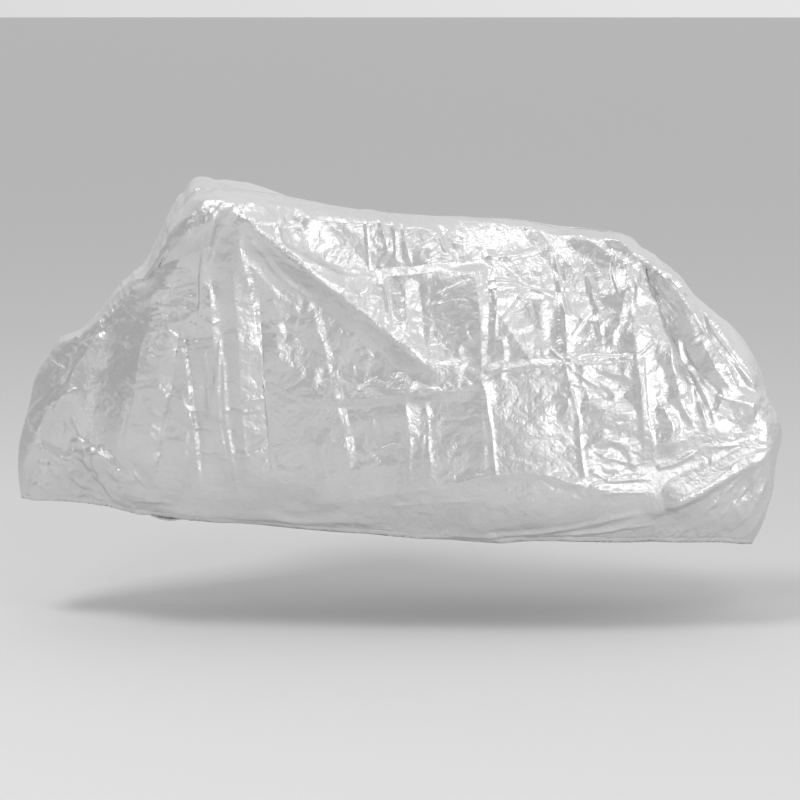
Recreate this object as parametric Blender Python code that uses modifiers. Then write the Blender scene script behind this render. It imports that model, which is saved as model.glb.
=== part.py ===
"""Bicycle cover of thin silver-coated cloth, in the shape in which it hangs, its front to the left.

It is cut as two panels, which meet in a seam that runs up the front, along the top and down the back, and
it is open at the hem. Distances are in metres. In the tables x runs from the
front of the cover to its back, z is the height above the ground, and out is the distance sideways from the
middle plane, where the seam lies. The near panel is on the -Y side and the far panel on the +Y side. The
finished points are shifted so that the origin lies under the top of the cover, on its highest support.
"""

from typing import NamedTuple

import bpy
import numpy as np

SHEET = 0.002  # thickness of the cloth as modelled
PANEL_GAP = 0.0003  # between the two panels, along the seam
REST_X = 0.420  # where the top lies on what holds it up
SEAM_STRIP = 0.004  # half the width of the level strip along the seam
SEAM_RAISE = 0.005  # the seam stands this far above the top beside it
RAISE_WIDTH = 0.020  # and falls to it over this width
NOSE = 0.030  # share of a panel's length that rounds over to the seam at the front and the back
NOSE_STEPS = 5  # columns in that share
BEND_FADE = 8  # power with which the small bends of an outline die out inwards
CREASE = 1.5  # power of a fold's slope: 1 is a straight-sided crease, 2 one with hollow sides
SILVER = (0.76, 0.77, 0.79, 1.0)


class Station(NamedTuple):
    """The top at one place: the seam, and each panel's shoulder, where the top turns over into the side."""

    x: float
    seam_z: float
    near_shift: float
    near_out: float
    near_z: float
    far_shift: float
    far_out: float
    far_z: float


class Girth(NamedTuple):
    """How far a panel stands out from the middle plane, from the shoulder down, at a share of its length."""

    at: float
    chest: float
    rib: float
    waist: float
    hip: float
    turn: float
    hem: float


class Fold(NamedTuple):
    """A soft ridge (or trough, where rise is negative) along a curve from one place through another to a third.

    The fold is `left` wide on the left of its own direction and `right` wide on the right.
    """

    name: str
    x0: float
    z0: float
    x1: float
    z1: float
    x2: float
    z2: float
    rise: float
    left: float
    right: float


TOP = (
    Station(-0.492, 1.044, -0.014, 0.000, 1.022, -0.014, 0.000, 1.022),
    Station(-0.470, 1.044, -0.008, 0.190, 1.040, -0.050, 0.230, 1.046),
    Station(-0.414, 1.045, 0.000, 0.300, 1.050, -0.048, 0.295, 1.052),
    Station(-0.343, 1.038, 0.000, 0.252, 1.044, -0.050, 0.295, 1.050),
    Station(-0.231, 1.018, 0.000, 0.200, 1.030, -0.060, 0.235, 1.019),
    Station(-0.139, 0.998, 0.000, 0.165, 1.020, -0.040, 0.170, 0.985),
    Station(0.000, 0.984, 0.000, 0.120, 1.003, 0.000, 0.120, 0.968),
    Station(0.166, 0.974, 0.000, 0.075, 0.986, 0.000, 0.085, 0.960),
    Station(0.260, 0.972, 0.000, 0.072, 0.979, 0.000, 0.078, 0.962),
    Station(0.378, 0.955, 0.000, 0.080, 0.949, 0.000, 0.080, 0.950),
    Station(0.472, 0.946, 0.000, 0.090, 0.939, 0.000, 0.082, 0.942),
    Station(0.548, 0.930, 0.000, 0.080, 0.928, 0.000, 0.080, 0.922),
    Station(0.572, 0.916, 0.016, 0.000, 0.898, 0.016, 0.000, 0.898),
)
FRONT_EDGE = (
    (-0.506, 1.022),
    (-0.518, 1.000),
    (-0.549, 0.952),
    (-0.580, 0.887),
    (-0.612, 0.845),
    (-0.675, 0.794),
    (-0.724, 0.741),
    (-0.774, 0.704),
    (-0.822, 0.685),
    (-0.852, 0.641),
    (-0.876, 0.605),
    (-0.899, 0.523),
    (-0.926, 0.422),
    (-0.930, 0.380),
    (-0.925, 0.297),
)
BACK_EDGE = (
    (0.588, 0.898),
    (0.625, 0.867),
    (0.724, 0.780),
    (0.822, 0.692),
    (0.847, 0.658),
    (0.873, 0.607),
    (0.899, 0.533),
    (0.926, 0.444),
    (0.917, 0.395),
    (0.903, 0.310),
    (0.878, 0.219),
    (0.864, 0.187),
)
NEAR_HEM = (
    (-0.925, 0.297),
    (-0.823, 0.300),
    (-0.700, 0.292),
    (-0.601, 0.277),
    (-0.408, 0.264),
    (-0.239, 0.251),
    (0.000, 0.232),
    (0.120, 0.222),
    (0.384, 0.217),
    (0.578, 0.212),
    (0.727, 0.203),
    (0.864, 0.187),
)
FAR_HEM = (
    (-0.925, 0.297),
    (-0.800, 0.285),
    (-0.680, 0.255),
    (-0.574, 0.214),
    (-0.470, 0.246),
    (-0.250, 0.252),
    (0.000, 0.236),
    (0.300, 0.219),
    (0.600, 0.214),
    (0.864, 0.187),
)
GIRTH_LEVELS = (0.0, 0.12, 0.30, 0.50, 0.70, 0.88, 1.0)
NEAR_GIRTH = (
    Girth(0.000, 0.200, 0.095, 0.075, 0.065, 0.060, 0.040),
    Girth(0.030, 0.245, 0.125, 0.095, 0.085, 0.075, 0.050),
    Girth(0.070, 0.285, 0.205, 0.140, 0.125, 0.100, 0.062),
    Girth(0.130, 0.270, 0.240, 0.215, 0.190, 0.150, 0.092),
    Girth(0.220, 0.240, 0.235, 0.222, 0.205, 0.172, 0.115),
    Girth(0.350, 0.190, 0.200, 0.206, 0.207, 0.190, 0.130),
    Girth(0.500, 0.150, 0.180, 0.196, 0.206, 0.200, 0.140),
    Girth(0.650, 0.120, 0.155, 0.180, 0.200, 0.200, 0.140),
    Girth(0.800, 0.105, 0.130, 0.150, 0.165, 0.170, 0.120),
    Girth(0.900, 0.100, 0.112, 0.125, 0.130, 0.125, 0.080),
    Girth(0.960, 0.095, 0.100, 0.104, 0.104, 0.095, 0.055),
    Girth(1.000, 0.085, 0.088, 0.090, 0.088, 0.078, 0.045),
)
FAR_GIRTH = (
    Girth(0.000, 0.195, 0.095, 0.075, 0.065, 0.060, 0.040),
    Girth(0.030, 0.240, 0.130, 0.100, 0.088, 0.075, 0.050),
    Girth(0.070, 0.275, 0.215, 0.150, 0.125, 0.098, 0.060),
    Girth(0.130, 0.275, 0.240, 0.205, 0.175, 0.140, 0.088),
    Girth(0.220, 0.250, 0.236, 0.215, 0.196, 0.165, 0.110),
    Girth(0.350, 0.205, 0.208, 0.205, 0.200, 0.182, 0.128),
    Girth(0.500, 0.155, 0.178, 0.192, 0.200, 0.194, 0.138),
    Girth(0.650, 0.122, 0.152, 0.176, 0.194, 0.194, 0.138),
    Girth(0.800, 0.108, 0.132, 0.152, 0.166, 0.168, 0.118),
    Girth(0.900, 0.100, 0.112, 0.124, 0.130, 0.124, 0.080),
    Girth(0.960, 0.094, 0.100, 0.103, 0.102, 0.094, 0.054),
    Girth(1.000, 0.085, 0.088, 0.090, 0.088, 0.078, 0.045),
)
NEAR_FOLDS = (
    Fold("swag", -0.412, 1.040, -0.175, 0.820, 0.115, 0.590, 0.028, 0.110, 0.045),
    Fold("swag foot", 0.020, 0.600, 0.220, 0.615, 0.580, 0.690, 0.018, 0.080, 0.045),
    Fold("second swag", -0.330, 0.960, -0.215, 0.880, -0.060, 0.800, 0.009, 0.040, 0.040),
    Fold("pocket", -0.340, 0.985, -0.130, 0.925, 0.090, 0.780, -0.020, 0.090, 0.090),
    Fold("corner ridge", -0.405, 1.048, -0.512, 0.955, -0.578, 0.790, 0.016, 0.070, 0.040),
    Fold("corner ridge foot", -0.560, 0.860, -0.608, 0.640, -0.685, 0.420, 0.022, 0.090, 0.080),
    Fold("front ridge", -0.596, 0.850, -0.730, 0.700, -0.862, 0.490, 0.018, 0.080, 0.040),
    Fold("corner fan 1", -0.505, 0.780, -0.540, 0.560, -0.585, 0.340, -0.016, 0.035, 0.035),
    Fold("corner fan 2", -0.500, 0.760, -0.480, 0.560, -0.465, 0.340, -0.016, 0.035, 0.035),
    Fold("corner fan 3", -0.440, 0.860, -0.425, 0.600, -0.405, 0.330, 0.009, 0.035, 0.035),
    Fold("corner fan 4", -0.385, 0.920, -0.372, 0.620, -0.360, 0.340, 0.008, 0.035, 0.045),
    Fold("corner fan 5", -0.325, 0.860, -0.318, 0.620, -0.300, 0.350, -0.009, 0.035, 0.035),
    Fold("pack crease 1", 0.010, 0.900, 0.010, 0.650, 0.015, 0.380, 0.007, 0.040, 0.040),
    Fold("pack crease 2", 0.190, 0.890, 0.190, 0.640, 0.195, 0.380, 0.008, 0.035, 0.045),
    Fold("pack crease 3", 0.385, 0.920, 0.395, 0.700, 0.400, 0.400, 0.009, 0.040, 0.040),
    Fold("pack crease 4", 0.530, 0.900, 0.555, 0.660, 0.590, 0.380, 0.009, 0.040, 0.040),
    Fold("back valley", 0.575, 0.890, 0.640, 0.730, 0.730, 0.530, -0.022, 0.045, 0.040),
    Fold("back ridge 1", 0.560, 0.915, 0.620, 0.740, 0.690, 0.480, 0.010, 0.035, 0.040),
    Fold("back ridge 2", 0.610, 0.870, 0.735, 0.690, 0.850, 0.500, 0.014, 0.040, 0.040),
    Fold("back ridge 3", 0.720, 0.775, 0.800, 0.660, 0.860, 0.570, 0.008, 0.030, 0.030),
    Fold("back turn", 0.620, 0.315, 0.765, 0.370, 0.905, 0.445, 0.016, 0.050, 0.070),
    Fold("front turn", -0.900, 0.430, -0.740, 0.420, -0.600, 0.320, 0.012, 0.050, 0.060),
)
FAR_FOLDS = (
    Fold("swag", -0.455, 1.035, -0.240, 0.790, 0.030, 0.610, 0.020, 0.090, 0.045),
    Fold("swag foot", -0.020, 0.620, 0.230, 0.600, 0.560, 0.700, 0.014, 0.080, 0.045),
    Fold("pocket", -0.360, 0.990, -0.160, 0.900, 0.120, 0.790, -0.018, 0.090, 0.090),
    Fold("corner ridge", -0.525, 1.020, -0.570, 0.930, -0.600, 0.830, 0.012, 0.050, 0.040),
    Fold("corner ridge foot", -0.590, 0.850, -0.640, 0.640, -0.730, 0.420, 0.014, 0.080, 0.060),
    Fold("front ridge", -0.610, 0.840, -0.750, 0.680, -0.865, 0.480, 0.012, 0.060, 0.035),
    Fold("corner fan 1", -0.500, 0.860, -0.530, 0.600, -0.560, 0.330, 0.012, 0.040, 0.040),
    Fold("corner fan 2", -0.450, 0.880, -0.440, 0.620, -0.435, 0.340, -0.012, 0.045, 0.040),
    Fold("corner fan 3", -0.400, 0.840, -0.350, 0.600, -0.330, 0.340, 0.010, 0.045, 0.045),
    Fold("pack crease 1", -0.110, 0.800, -0.100, 0.600, -0.105, 0.380, 0.008, 0.045, 0.045),
    Fold("pack crease 2", 0.130, 0.900, 0.140, 0.640, 0.140, 0.370, 0.009, 0.045, 0.045),
    Fold("pack crease 3", 0.350, 0.910, 0.360, 0.660, 0.370, 0.380, 0.009, 0.045, 0.045),
    Fold("back valley", 0.560, 0.900, 0.620, 0.700, 0.700, 0.480, -0.020, 0.045, 0.045),
    Fold("back ridge 1", 0.540, 0.910, 0.560, 0.700, 0.600, 0.420, 0.011, 0.040, 0.040),
    Fold("back ridge 2", 0.620, 0.860, 0.720, 0.660, 0.810, 0.440, 0.014, 0.045, 0.040),
    Fold("back turn", 0.600, 0.300, 0.760, 0.350, 0.905, 0.440, 0.014, 0.050, 0.070),
    Fold("front turn", -0.900, 0.420, -0.740, 0.400, -0.600, 0.320, 0.012, 0.050, 0.060),
)


class Panel(NamedTuple):
    """One side of the cover: its tables, and how finely its sheet is divided along and down.

    Each band is the share of the length at which it ends, and the number of columns in it.
    """

    name: str
    side: float
    girth: tuple
    hem: tuple
    folds: tuple
    bands: tuple
    side_rows: int


NEAR_PANEL = Panel(
    "near_panel", -1.0, NEAR_GIRTH, NEAR_HEM, NEAR_FOLDS, ((0.32, 26), (0.76, 20), (1 - NOSE, 14)), 27
)
FAR_PANEL = Panel(
    "far_panel", 1.0, FAR_GIRTH, FAR_HEM, FAR_FOLDS, ((0.32, 16), (0.76, 14), (1 - NOSE, 10)), 21
)


def spline(knots, values, at):
    """Smooth curve through rows of values, read at one or many places."""
    knots, values, at = (np.asarray(v, float) for v in (knots, values, at))
    slopes = np.gradient(values, knots, axis=0)
    low = np.clip(np.searchsorted(knots, at, side="right") - 1, 0, len(knots) - 2)
    width = knots[low + 1] - knots[low]
    t = (at - knots[low]) / width
    t, width = (v.reshape(v.shape + (1,) * (values.ndim - 1)) for v in (t, width))
    near = (1 + 2 * t) * (1 - t) ** 2 * values[low] + t * (1 - t) ** 2 * width * slopes[low]
    far = t**2 * (3 - 2 * t) * values[low + 1] - t**2 * (1 - t) * width * slopes[low + 1]
    return near + far


def edge(points, at):
    """Places along an outline, at shares of its length."""
    points = np.asarray(points)
    lengths = np.linalg.norm(np.diff(points, axis=0), axis=1)
    return spline(np.append(0, np.cumsum(lengths)) / lengths.sum(), points, at)


def fading_edge(points, at, nearness):
    """Places along an outline whose small bends die out as the nearness to it falls from 1 to 0."""
    bent = edge(points, at)
    plain = edge((points[0], points[len(points) // 2], points[-1]), at)
    return plain + (bent - plain) * nearness**BEND_FADE


def smooth_step(value):
    """0 up to 0, 1 from 1 on, and an even turn between."""
    value = np.clip(value, 0, 1)
    return value * value * (3 - 2 * value)


def shares_along(bands):
    """Shares of a panel's length that hold a column, closest where the panel rounds over to the seam."""
    turn = np.linspace(0, np.pi / 2, NOSE_STEPS + 1)
    nose = NOSE * (1 - np.cos(turn))
    shares = [nose]
    start = NOSE
    for end, count in bands:
        shares.append(np.linspace(start, end, count + 1)[1:])
        start = end
    return np.concatenate(shares + [(1 - nose)[-2::-1]])


def top_stations():
    """The stations of the top as an array, and the share of the length at which each lies."""
    stations = np.array(TOP)
    seam_x = stations[:, 0]
    return stations, (seam_x - seam_x[0]) / (seam_x[-1] - seam_x[0])


def side_grid(panel, along, down):
    """Points of the side, from the shoulder to the hem: (columns, rows, 3) of x, out and z."""
    stations, share = top_stations()
    shift, out, height = (stations[:, 2:5] if panel.side < 0 else stations[:, 5:8]).T
    shoulder = spline(share, np.stack([stations[:, 0] + shift, height], axis=1), along)[:, None]
    s, u = along[:, None, None], down[None, :, None]
    front, back = fading_edge(FRONT_EDGE, down, 1 - s), fading_edge(BACK_EDGE, down, s)
    hem = np.swapaxes(fading_edge(panel.hem, along, np.swapaxes(u, 0, 1)), 0, 1)
    corners = (1 - u) * ((1 - s) * front[:, :1] + s * back[:, :1])
    corners = corners + u * ((1 - s) * front[:, -1:] + s * back[:, -1:])
    x, z = np.moveaxis((1 - s) * front + s * back + (1 - u) * shoulder + u * hem - corners, -1, 0)
    rows = np.array(panel.girth)
    girth = np.hstack([spline(share, out, along)[:, None], spline(rows[:, 0], rows[:, 1:], along)])
    stand = spline(GIRTH_LEVELS, girth.T, down).T
    from_end = np.clip(np.minimum(along, 1 - along) / NOSE, 0, 1)[:, None]
    nose = np.sqrt(1 - (1 - from_end) ** 2)
    below = smooth_step(down[None] / GIRTH_LEVELS[1])
    stand = stand * (nose * below + (1 - below) * np.minimum(1, nose + 1 - below))
    return np.stack([x, stand, z], axis=-1)


def top_grid(shoulder, along):
    """Points of half the top, from the seam to just short of the shoulder."""
    stations, share = top_stations()
    seam = spline(share, stations[:, :2], along)
    out = shoulder[:, 1]
    rows = []
    for part in (0, np.clip(RAISE_WIDTH / np.maximum(out, RAISE_WIDTH), 0, 0.3), 0.45, 0.8):
        part = np.broadcast_to(part, along.shape)
        x, z = (seam + (shoulder[:, ::2] - seam) * part[:, None]).T
        raised = SEAM_RAISE * smooth_step(out / RAISE_WIDTH / 2) * (part == 0)
        rows.append(np.stack([x, out * part, z + raised], axis=1))
    return np.stack(rows, axis=1)


def with_seam_strip(grid):
    """The grid with a narrow level strip along the front, the top and the back, out to the middle plane."""
    grid[..., 1] = np.maximum(grid[..., 1], SEAM_STRIP)
    grid = np.pad(grid, ((1, 1), (1, 0), (0, 0)), mode="edge")
    for corner, beside, inner in ((0, 1, 2), (-1, -2, -3)):
        grid[beside, 0] = 0.75 * grid[beside, 1] + 0.25 * grid[inner, 1]
        grid[corner, 1] = 0.75 * grid[beside, 1] + 0.25 * grid[beside, 2]
    grid[0, :, 1] = grid[-1, :, 1] = grid[:, 0, 1] = PANEL_GAP / 2
    return grid


def fold_height(fold, x, z):
    """How far one fold lifts the sheet at each place of the side view."""
    t = np.linspace(0, 1, 25)[:, None]
    start, bend, end = np.array(fold[1:7]).reshape(3, 2)
    pull = 2 * bend - (start + end) / 2
    path = (1 - t) ** 2 * start + 2 * t * (1 - t) * pull + t**2 * end
    away = np.full(x.shape, np.inf)
    lift = np.zeros(x.shape)
    for i, (a, b) in enumerate(zip(path[:-1], path[1:])):
        run = b - a
        dx, dz = x - a[0], z - a[1]
        share = np.clip((dx * run[0] + dz * run[1]) / (run @ run), 0, 1)
        gap = np.hypot(dx - share * run[0], dz - share * run[1])
        on_left = run[0] * dz - run[1] * dx > 0
        reach = np.where(on_left, fold.left, fold.right)
        along = (i + share) / (len(path) - 1)
        ends = smooth_step(along / 0.12) * smooth_step((1 - along) / 0.25)
        closer = gap < away
        away = np.where(closer, gap, away)
        lift = np.where(closer, ends * (1 - np.minimum(gap / reach, 1)) ** CREASE, lift)
    return fold.rise * lift


def outward(grid):
    """Unit normals of a grid of points, from the points beside each, on the side away from the middle."""
    across, down = np.gradient(grid, axis=(0, 1))
    normal = np.cross(across, down)
    normal = normal / np.linalg.norm(normal, axis=-1, keepdims=True)
    return normal * np.sign(normal[len(grid) // 2, -8, 1])


def panel_points(panel):
    """All points of one panel's inner face, (columns, rows, 3), in the finished frame."""
    along = shares_along(panel.bands)
    side = side_grid(panel, along, np.linspace(0, 1, panel.side_rows + 1))
    top = top_grid(side[:, 0], along)
    grid = with_seam_strip(np.concatenate([top, side], axis=1))
    x, out, z = np.moveaxis(grid, -1, 0)
    rows = grid.shape[1]
    below_shoulder = np.arange(rows) - (rows - side.shape[1])
    free = smooth_step(below_shoulder / 2) * smooth_step((out - SEAM_STRIP) / 0.05)
    free = free * (0.3 + 0.7 * smooth_step(np.arange(rows)[::-1] / 3))
    lift = sum(fold_height(fold, x, z) for fold in panel.folds)
    grid = grid + outward(grid) * (lift * free)[..., None]
    stations, _ = top_stations()
    rest_z = float(spline(stations[:, 0], stations[:, 1], REST_X))
    return (grid - (REST_X, 0, rest_z)) * (1, panel.side, 1)


def silver_cloth():
    """The coated cloth of both panels."""
    material = bpy.data.materials.new("silver_cloth")
    material.use_nodes = True
    shader = material.node_tree.nodes["Principled BSDF"]
    shader.inputs["Base Color"].default_value = SILVER
    shader.inputs["Metallic"].default_value = 0.7
    shader.inputs["Roughness"].default_value = 0.42
    return material


def make_panel(panel, collection, material):
    """A grid moved into the panel's form, with the cloth's thickness added on its outer face."""
    points = panel_points(panel)
    columns, rows = points.shape[0] - 1, points.shape[1] - 1
    bpy.ops.mesh.primitive_grid_add(x_subdivisions=columns, y_subdivisions=rows, size=2)
    sheet = bpy.context.object
    sheet.name = sheet.data.name = panel.name
    for owner in sheet.users_collection:
        owner.objects.unlink(sheet)
    collection.objects.link(sheet)
    mesh = sheet.data
    flat = np.empty(len(mesh.vertices) * 3)
    mesh.vertices.foreach_get("co", flat)
    place = (flat.reshape(-1, 3)[:, :2] + 1) / 2 * (columns, rows)
    column, row = np.rint(place).astype(int).T
    mesh.vertices.foreach_set("co", points[column, rows - row].ravel())
    if panel.side > 0:
        mesh.flip_normals()
    mesh.shade_smooth()
    mesh.materials.append(material)
    thickness = sheet.modifiers.new("cloth", "SOLIDIFY")
    thickness.thickness = SHEET
    thickness.offset = 1
    facets = sheet.modifiers.new("facets", "TRIANGULATE")
    facets.quad_method = "SHORTEST_DIAGONAL"


def main():
    """Clears the scene and makes both panels."""
    for old in list(bpy.data.objects):
        bpy.data.objects.remove(old)
    collection = bpy.data.collections.new("Bicycle cover")
    bpy.context.scene.collection.children.link(collection)
    material = silver_cloth()
    for panel in (NEAR_PANEL, FAR_PANEL):
        make_panel(panel, collection, material)


main()
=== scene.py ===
"""Looks of a bicycle cover: thin silver-coated cloth, in the folds in which it hangs.

The cover is two panels of cloth, sewn together along the front, the top and the back. Each panel is one fine
sheet over the solid of the same panel: the same base form and main folds, with the creases, the
rumples between them, the gathers along the hem and the seam, and a turned-in hem. Distances are in metres. In
the tables x runs from the front of the cover to its back, z is the height above the ground, and out is the
distance sideways from the middle plane. The finished points are shifted into the frame of the solids.
"""

from __future__ import annotations

import logging
import math
from dataclasses import dataclass, field, replace
from enum import Enum
from typing import NamedTuple, Sequence

import bpy
import numpy as np
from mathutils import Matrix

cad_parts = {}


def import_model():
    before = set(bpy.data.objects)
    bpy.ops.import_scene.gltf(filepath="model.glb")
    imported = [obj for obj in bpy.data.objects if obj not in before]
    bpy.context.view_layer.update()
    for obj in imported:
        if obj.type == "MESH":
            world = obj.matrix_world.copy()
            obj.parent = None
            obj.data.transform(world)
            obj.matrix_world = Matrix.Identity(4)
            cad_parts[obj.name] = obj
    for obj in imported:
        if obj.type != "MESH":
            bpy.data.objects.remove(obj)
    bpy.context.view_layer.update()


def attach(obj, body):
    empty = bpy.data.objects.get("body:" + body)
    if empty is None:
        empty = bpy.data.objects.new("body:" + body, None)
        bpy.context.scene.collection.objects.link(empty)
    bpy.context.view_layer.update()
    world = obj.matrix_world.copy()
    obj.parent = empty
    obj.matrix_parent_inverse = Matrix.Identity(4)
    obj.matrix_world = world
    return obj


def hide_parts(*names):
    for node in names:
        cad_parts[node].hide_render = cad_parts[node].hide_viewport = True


LOG = logging.getLogger("cover")
Array = np.ndarray

SHEET = 0.002  # thickness of the solids, whose outer face the cloth follows
PANEL_GAP = 0.0003  # between the two panels, along the seam
REST_X = 0.420  # where the top lies on what holds it up
SEAM_STRIP = 0.004  # half the width of the level strip along the seam
SEAM_RAISE = 0.005  # the seam stands this far above the top beside it
RAISE_WIDTH = 0.020  # and falls to it over this width
NOSE = 0.030  # share of a panel's length that rounds over to the seam at the front and the back
BEND_FADE = 8  # power with which the small bends of an outline die out inwards
SOLID_ROW = 1 / 27  # share of the side's height in one row of the solid, over which its folds fade in
HEM_WIDTH = 0.014  # of the turned-in hem
SIDE_HEIGHT = 0.7  # of a panel's side, about, to tell the hem's share of it
FAR_STEP = 0.015  # how far a crease of the far side typically lies from its like on the near side
FAR_PATCH_STEP = 0.03  # and a patch of rumples
FAR_PATCH_TURN = 40  # and how far that patch is turned, in degrees
FAR_RISE = (0.6, 1.2)  # least and most height of a far crease, as a share of the near one's
TABLE_SIDE = 64  # values along each side of a table of random numbers, after which it repeats


class Side(Enum):
    """Side of the middle plane on which a panel lies."""

    NEAR = -1.0
    FAR = 1.0


class Form(Enum):
    """Cross-section of a crease: the height left at a share of its reach."""

    CRISP = "crisp crest with hollow sides"
    FLAT = "crisp crest with flat sides"
    ROLL = "soft roll"

    def height(self, share: Array) -> Array:
        """Height from 1 at the crest to 0 at the reach.

        Args:
            share: Distance from the crest as a share of the reach.

        Returns:
            The height at each share.
        """
        rest = 1 - np.minimum(share, 1)
        if self is Form.CRISP:
            return rest**1.5
        if self is Form.FLAT:
            return rest
        return rest * rest * (3 - 2 * rest)


class Station(NamedTuple):
    """The top at one place: the seam, and each panel's shoulder, where the top turns over into the side."""

    x: float
    seam_z: float
    near_shift: float
    near_out: float
    near_z: float
    far_shift: float
    far_out: float
    far_z: float


class Girth(NamedTuple):
    """How far a panel stands out from the middle plane, from the shoulder down, at a share of its length."""

    at: float
    chest: float
    rib: float
    waist: float
    hip: float
    turn: float
    hem: float


TOP = (
    Station(-0.492, 1.044, -0.014, 0.000, 1.022, -0.014, 0.000, 1.022),
    Station(-0.470, 1.044, -0.008, 0.190, 1.040, -0.050, 0.230, 1.046),
    Station(-0.414, 1.045, 0.000, 0.300, 1.050, -0.048, 0.295, 1.052),
    Station(-0.343, 1.038, 0.000, 0.252, 1.044, -0.050, 0.295, 1.050),
    Station(-0.231, 1.018, 0.000, 0.200, 1.030, -0.060, 0.235, 1.019),
    Station(-0.139, 0.998, 0.000, 0.165, 1.020, -0.040, 0.170, 0.985),
    Station(0.000, 0.984, 0.000, 0.120, 1.003, 0.000, 0.120, 0.968),
    Station(0.166, 0.974, 0.000, 0.075, 0.986, 0.000, 0.085, 0.960),
    Station(0.260, 0.972, 0.000, 0.072, 0.979, 0.000, 0.078, 0.962),
    Station(0.378, 0.955, 0.000, 0.080, 0.949, 0.000, 0.080, 0.950),
    Station(0.472, 0.946, 0.000, 0.090, 0.939, 0.000, 0.082, 0.942),
    Station(0.548, 0.930, 0.000, 0.080, 0.928, 0.000, 0.080, 0.922),
    Station(0.572, 0.916, 0.016, 0.000, 0.898, 0.016, 0.000, 0.898),
)
FRONT_EDGE = (
    (-0.506, 1.022),
    (-0.518, 1.000),
    (-0.549, 0.952),
    (-0.580, 0.887),
    (-0.612, 0.845),
    (-0.675, 0.794),
    (-0.724, 0.741),
    (-0.774, 0.704),
    (-0.822, 0.685),
    (-0.852, 0.641),
    (-0.876, 0.605),
    (-0.899, 0.523),
    (-0.926, 0.422),
    (-0.930, 0.380),
    (-0.925, 0.297),
)
BACK_EDGE = (
    (0.588, 0.898),
    (0.625, 0.867),
    (0.724, 0.780),
    (0.822, 0.692),
    (0.847, 0.658),
    (0.873, 0.607),
    (0.899, 0.533),
    (0.926, 0.444),
    (0.917, 0.395),
    (0.903, 0.310),
    (0.878, 0.219),
    (0.864, 0.187),
)
NEAR_HEM = (
    (-0.925, 0.297),
    (-0.823, 0.300),
    (-0.700, 0.292),
    (-0.601, 0.277),
    (-0.408, 0.264),
    (-0.239, 0.251),
    (0.000, 0.232),
    (0.120, 0.222),
    (0.384, 0.217),
    (0.578, 0.212),
    (0.727, 0.203),
    (0.864, 0.187),
)
FAR_HEM = (
    (-0.925, 0.297),
    (-0.800, 0.285),
    (-0.680, 0.255),
    (-0.574, 0.214),
    (-0.470, 0.246),
    (-0.250, 0.252),
    (0.000, 0.236),
    (0.300, 0.219),
    (0.600, 0.214),
    (0.864, 0.187),
)
GIRTH_LEVELS = (0.0, 0.12, 0.30, 0.50, 0.70, 0.88, 1.0)
NEAR_GIRTH = (
    Girth(0.000, 0.200, 0.095, 0.075, 0.065, 0.060, 0.040),
    Girth(0.030, 0.245, 0.125, 0.095, 0.085, 0.075, 0.050),
    Girth(0.070, 0.285, 0.205, 0.140, 0.125, 0.100, 0.062),
    Girth(0.130, 0.270, 0.240, 0.215, 0.190, 0.150, 0.092),
    Girth(0.220, 0.240, 0.235, 0.222, 0.205, 0.172, 0.115),
    Girth(0.350, 0.190, 0.200, 0.206, 0.207, 0.190, 0.130),
    Girth(0.500, 0.150, 0.180, 0.196, 0.206, 0.200, 0.140),
    Girth(0.650, 0.120, 0.155, 0.180, 0.200, 0.200, 0.140),
    Girth(0.800, 0.105, 0.130, 0.150, 0.165, 0.170, 0.120),
    Girth(0.900, 0.100, 0.112, 0.125, 0.130, 0.125, 0.080),
    Girth(0.960, 0.095, 0.100, 0.104, 0.104, 0.095, 0.055),
    Girth(1.000, 0.085, 0.088, 0.090, 0.088, 0.078, 0.045),
)
FAR_GIRTH = (
    Girth(0.000, 0.195, 0.095, 0.075, 0.065, 0.060, 0.040),
    Girth(0.030, 0.240, 0.130, 0.100, 0.088, 0.075, 0.050),
    Girth(0.070, 0.275, 0.215, 0.150, 0.125, 0.098, 0.060),
    Girth(0.130, 0.275, 0.240, 0.205, 0.175, 0.140, 0.088),
    Girth(0.220, 0.250, 0.236, 0.215, 0.196, 0.165, 0.110),
    Girth(0.350, 0.205, 0.208, 0.205, 0.200, 0.182, 0.128),
    Girth(0.500, 0.155, 0.178, 0.192, 0.200, 0.194, 0.138),
    Girth(0.650, 0.122, 0.152, 0.176, 0.194, 0.194, 0.138),
    Girth(0.800, 0.108, 0.132, 0.152, 0.166, 0.168, 0.118),
    Girth(0.900, 0.100, 0.112, 0.124, 0.130, 0.124, 0.080),
    Girth(0.960, 0.094, 0.100, 0.103, 0.102, 0.094, 0.054),
    Girth(1.000, 0.085, 0.088, 0.090, 0.088, 0.078, 0.045),
)


def smooth_step(value: Array | float) -> Array:
    """0 up to 0, 1 from 1 on, and an even turn between."""
    value = np.clip(value, 0, 1)
    return value * value * (3 - 2 * value)


def spline(knots: Sequence, values: Sequence, at: Array) -> Array:
    """Smooth curve through rows of values.

    Args:
        knots: Rising places of the rows.
        values: A number or a row of numbers at each knot.
        at: Places at which the curve is read.

    Returns:
        The values at those places.
    """
    knots, values, at = (np.asarray(v, float) for v in (knots, values, at))
    slopes = np.gradient(values, knots, axis=0)
    low = np.clip(np.searchsorted(knots, at, side="right") - 1, 0, len(knots) - 2)
    width = knots[low + 1] - knots[low]
    t = (at - knots[low]) / width
    t, width = (v.reshape(v.shape + (1,) * (values.ndim - 1)) for v in (t, width))
    near = (1 + 2 * t) * (1 - t) ** 2 * values[low] + t * (1 - t) ** 2 * width * slopes[low]
    far = t**2 * (3 - 2 * t) * values[low + 1] - t**2 * (1 - t) * width * slopes[low + 1]
    return near + far


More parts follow.
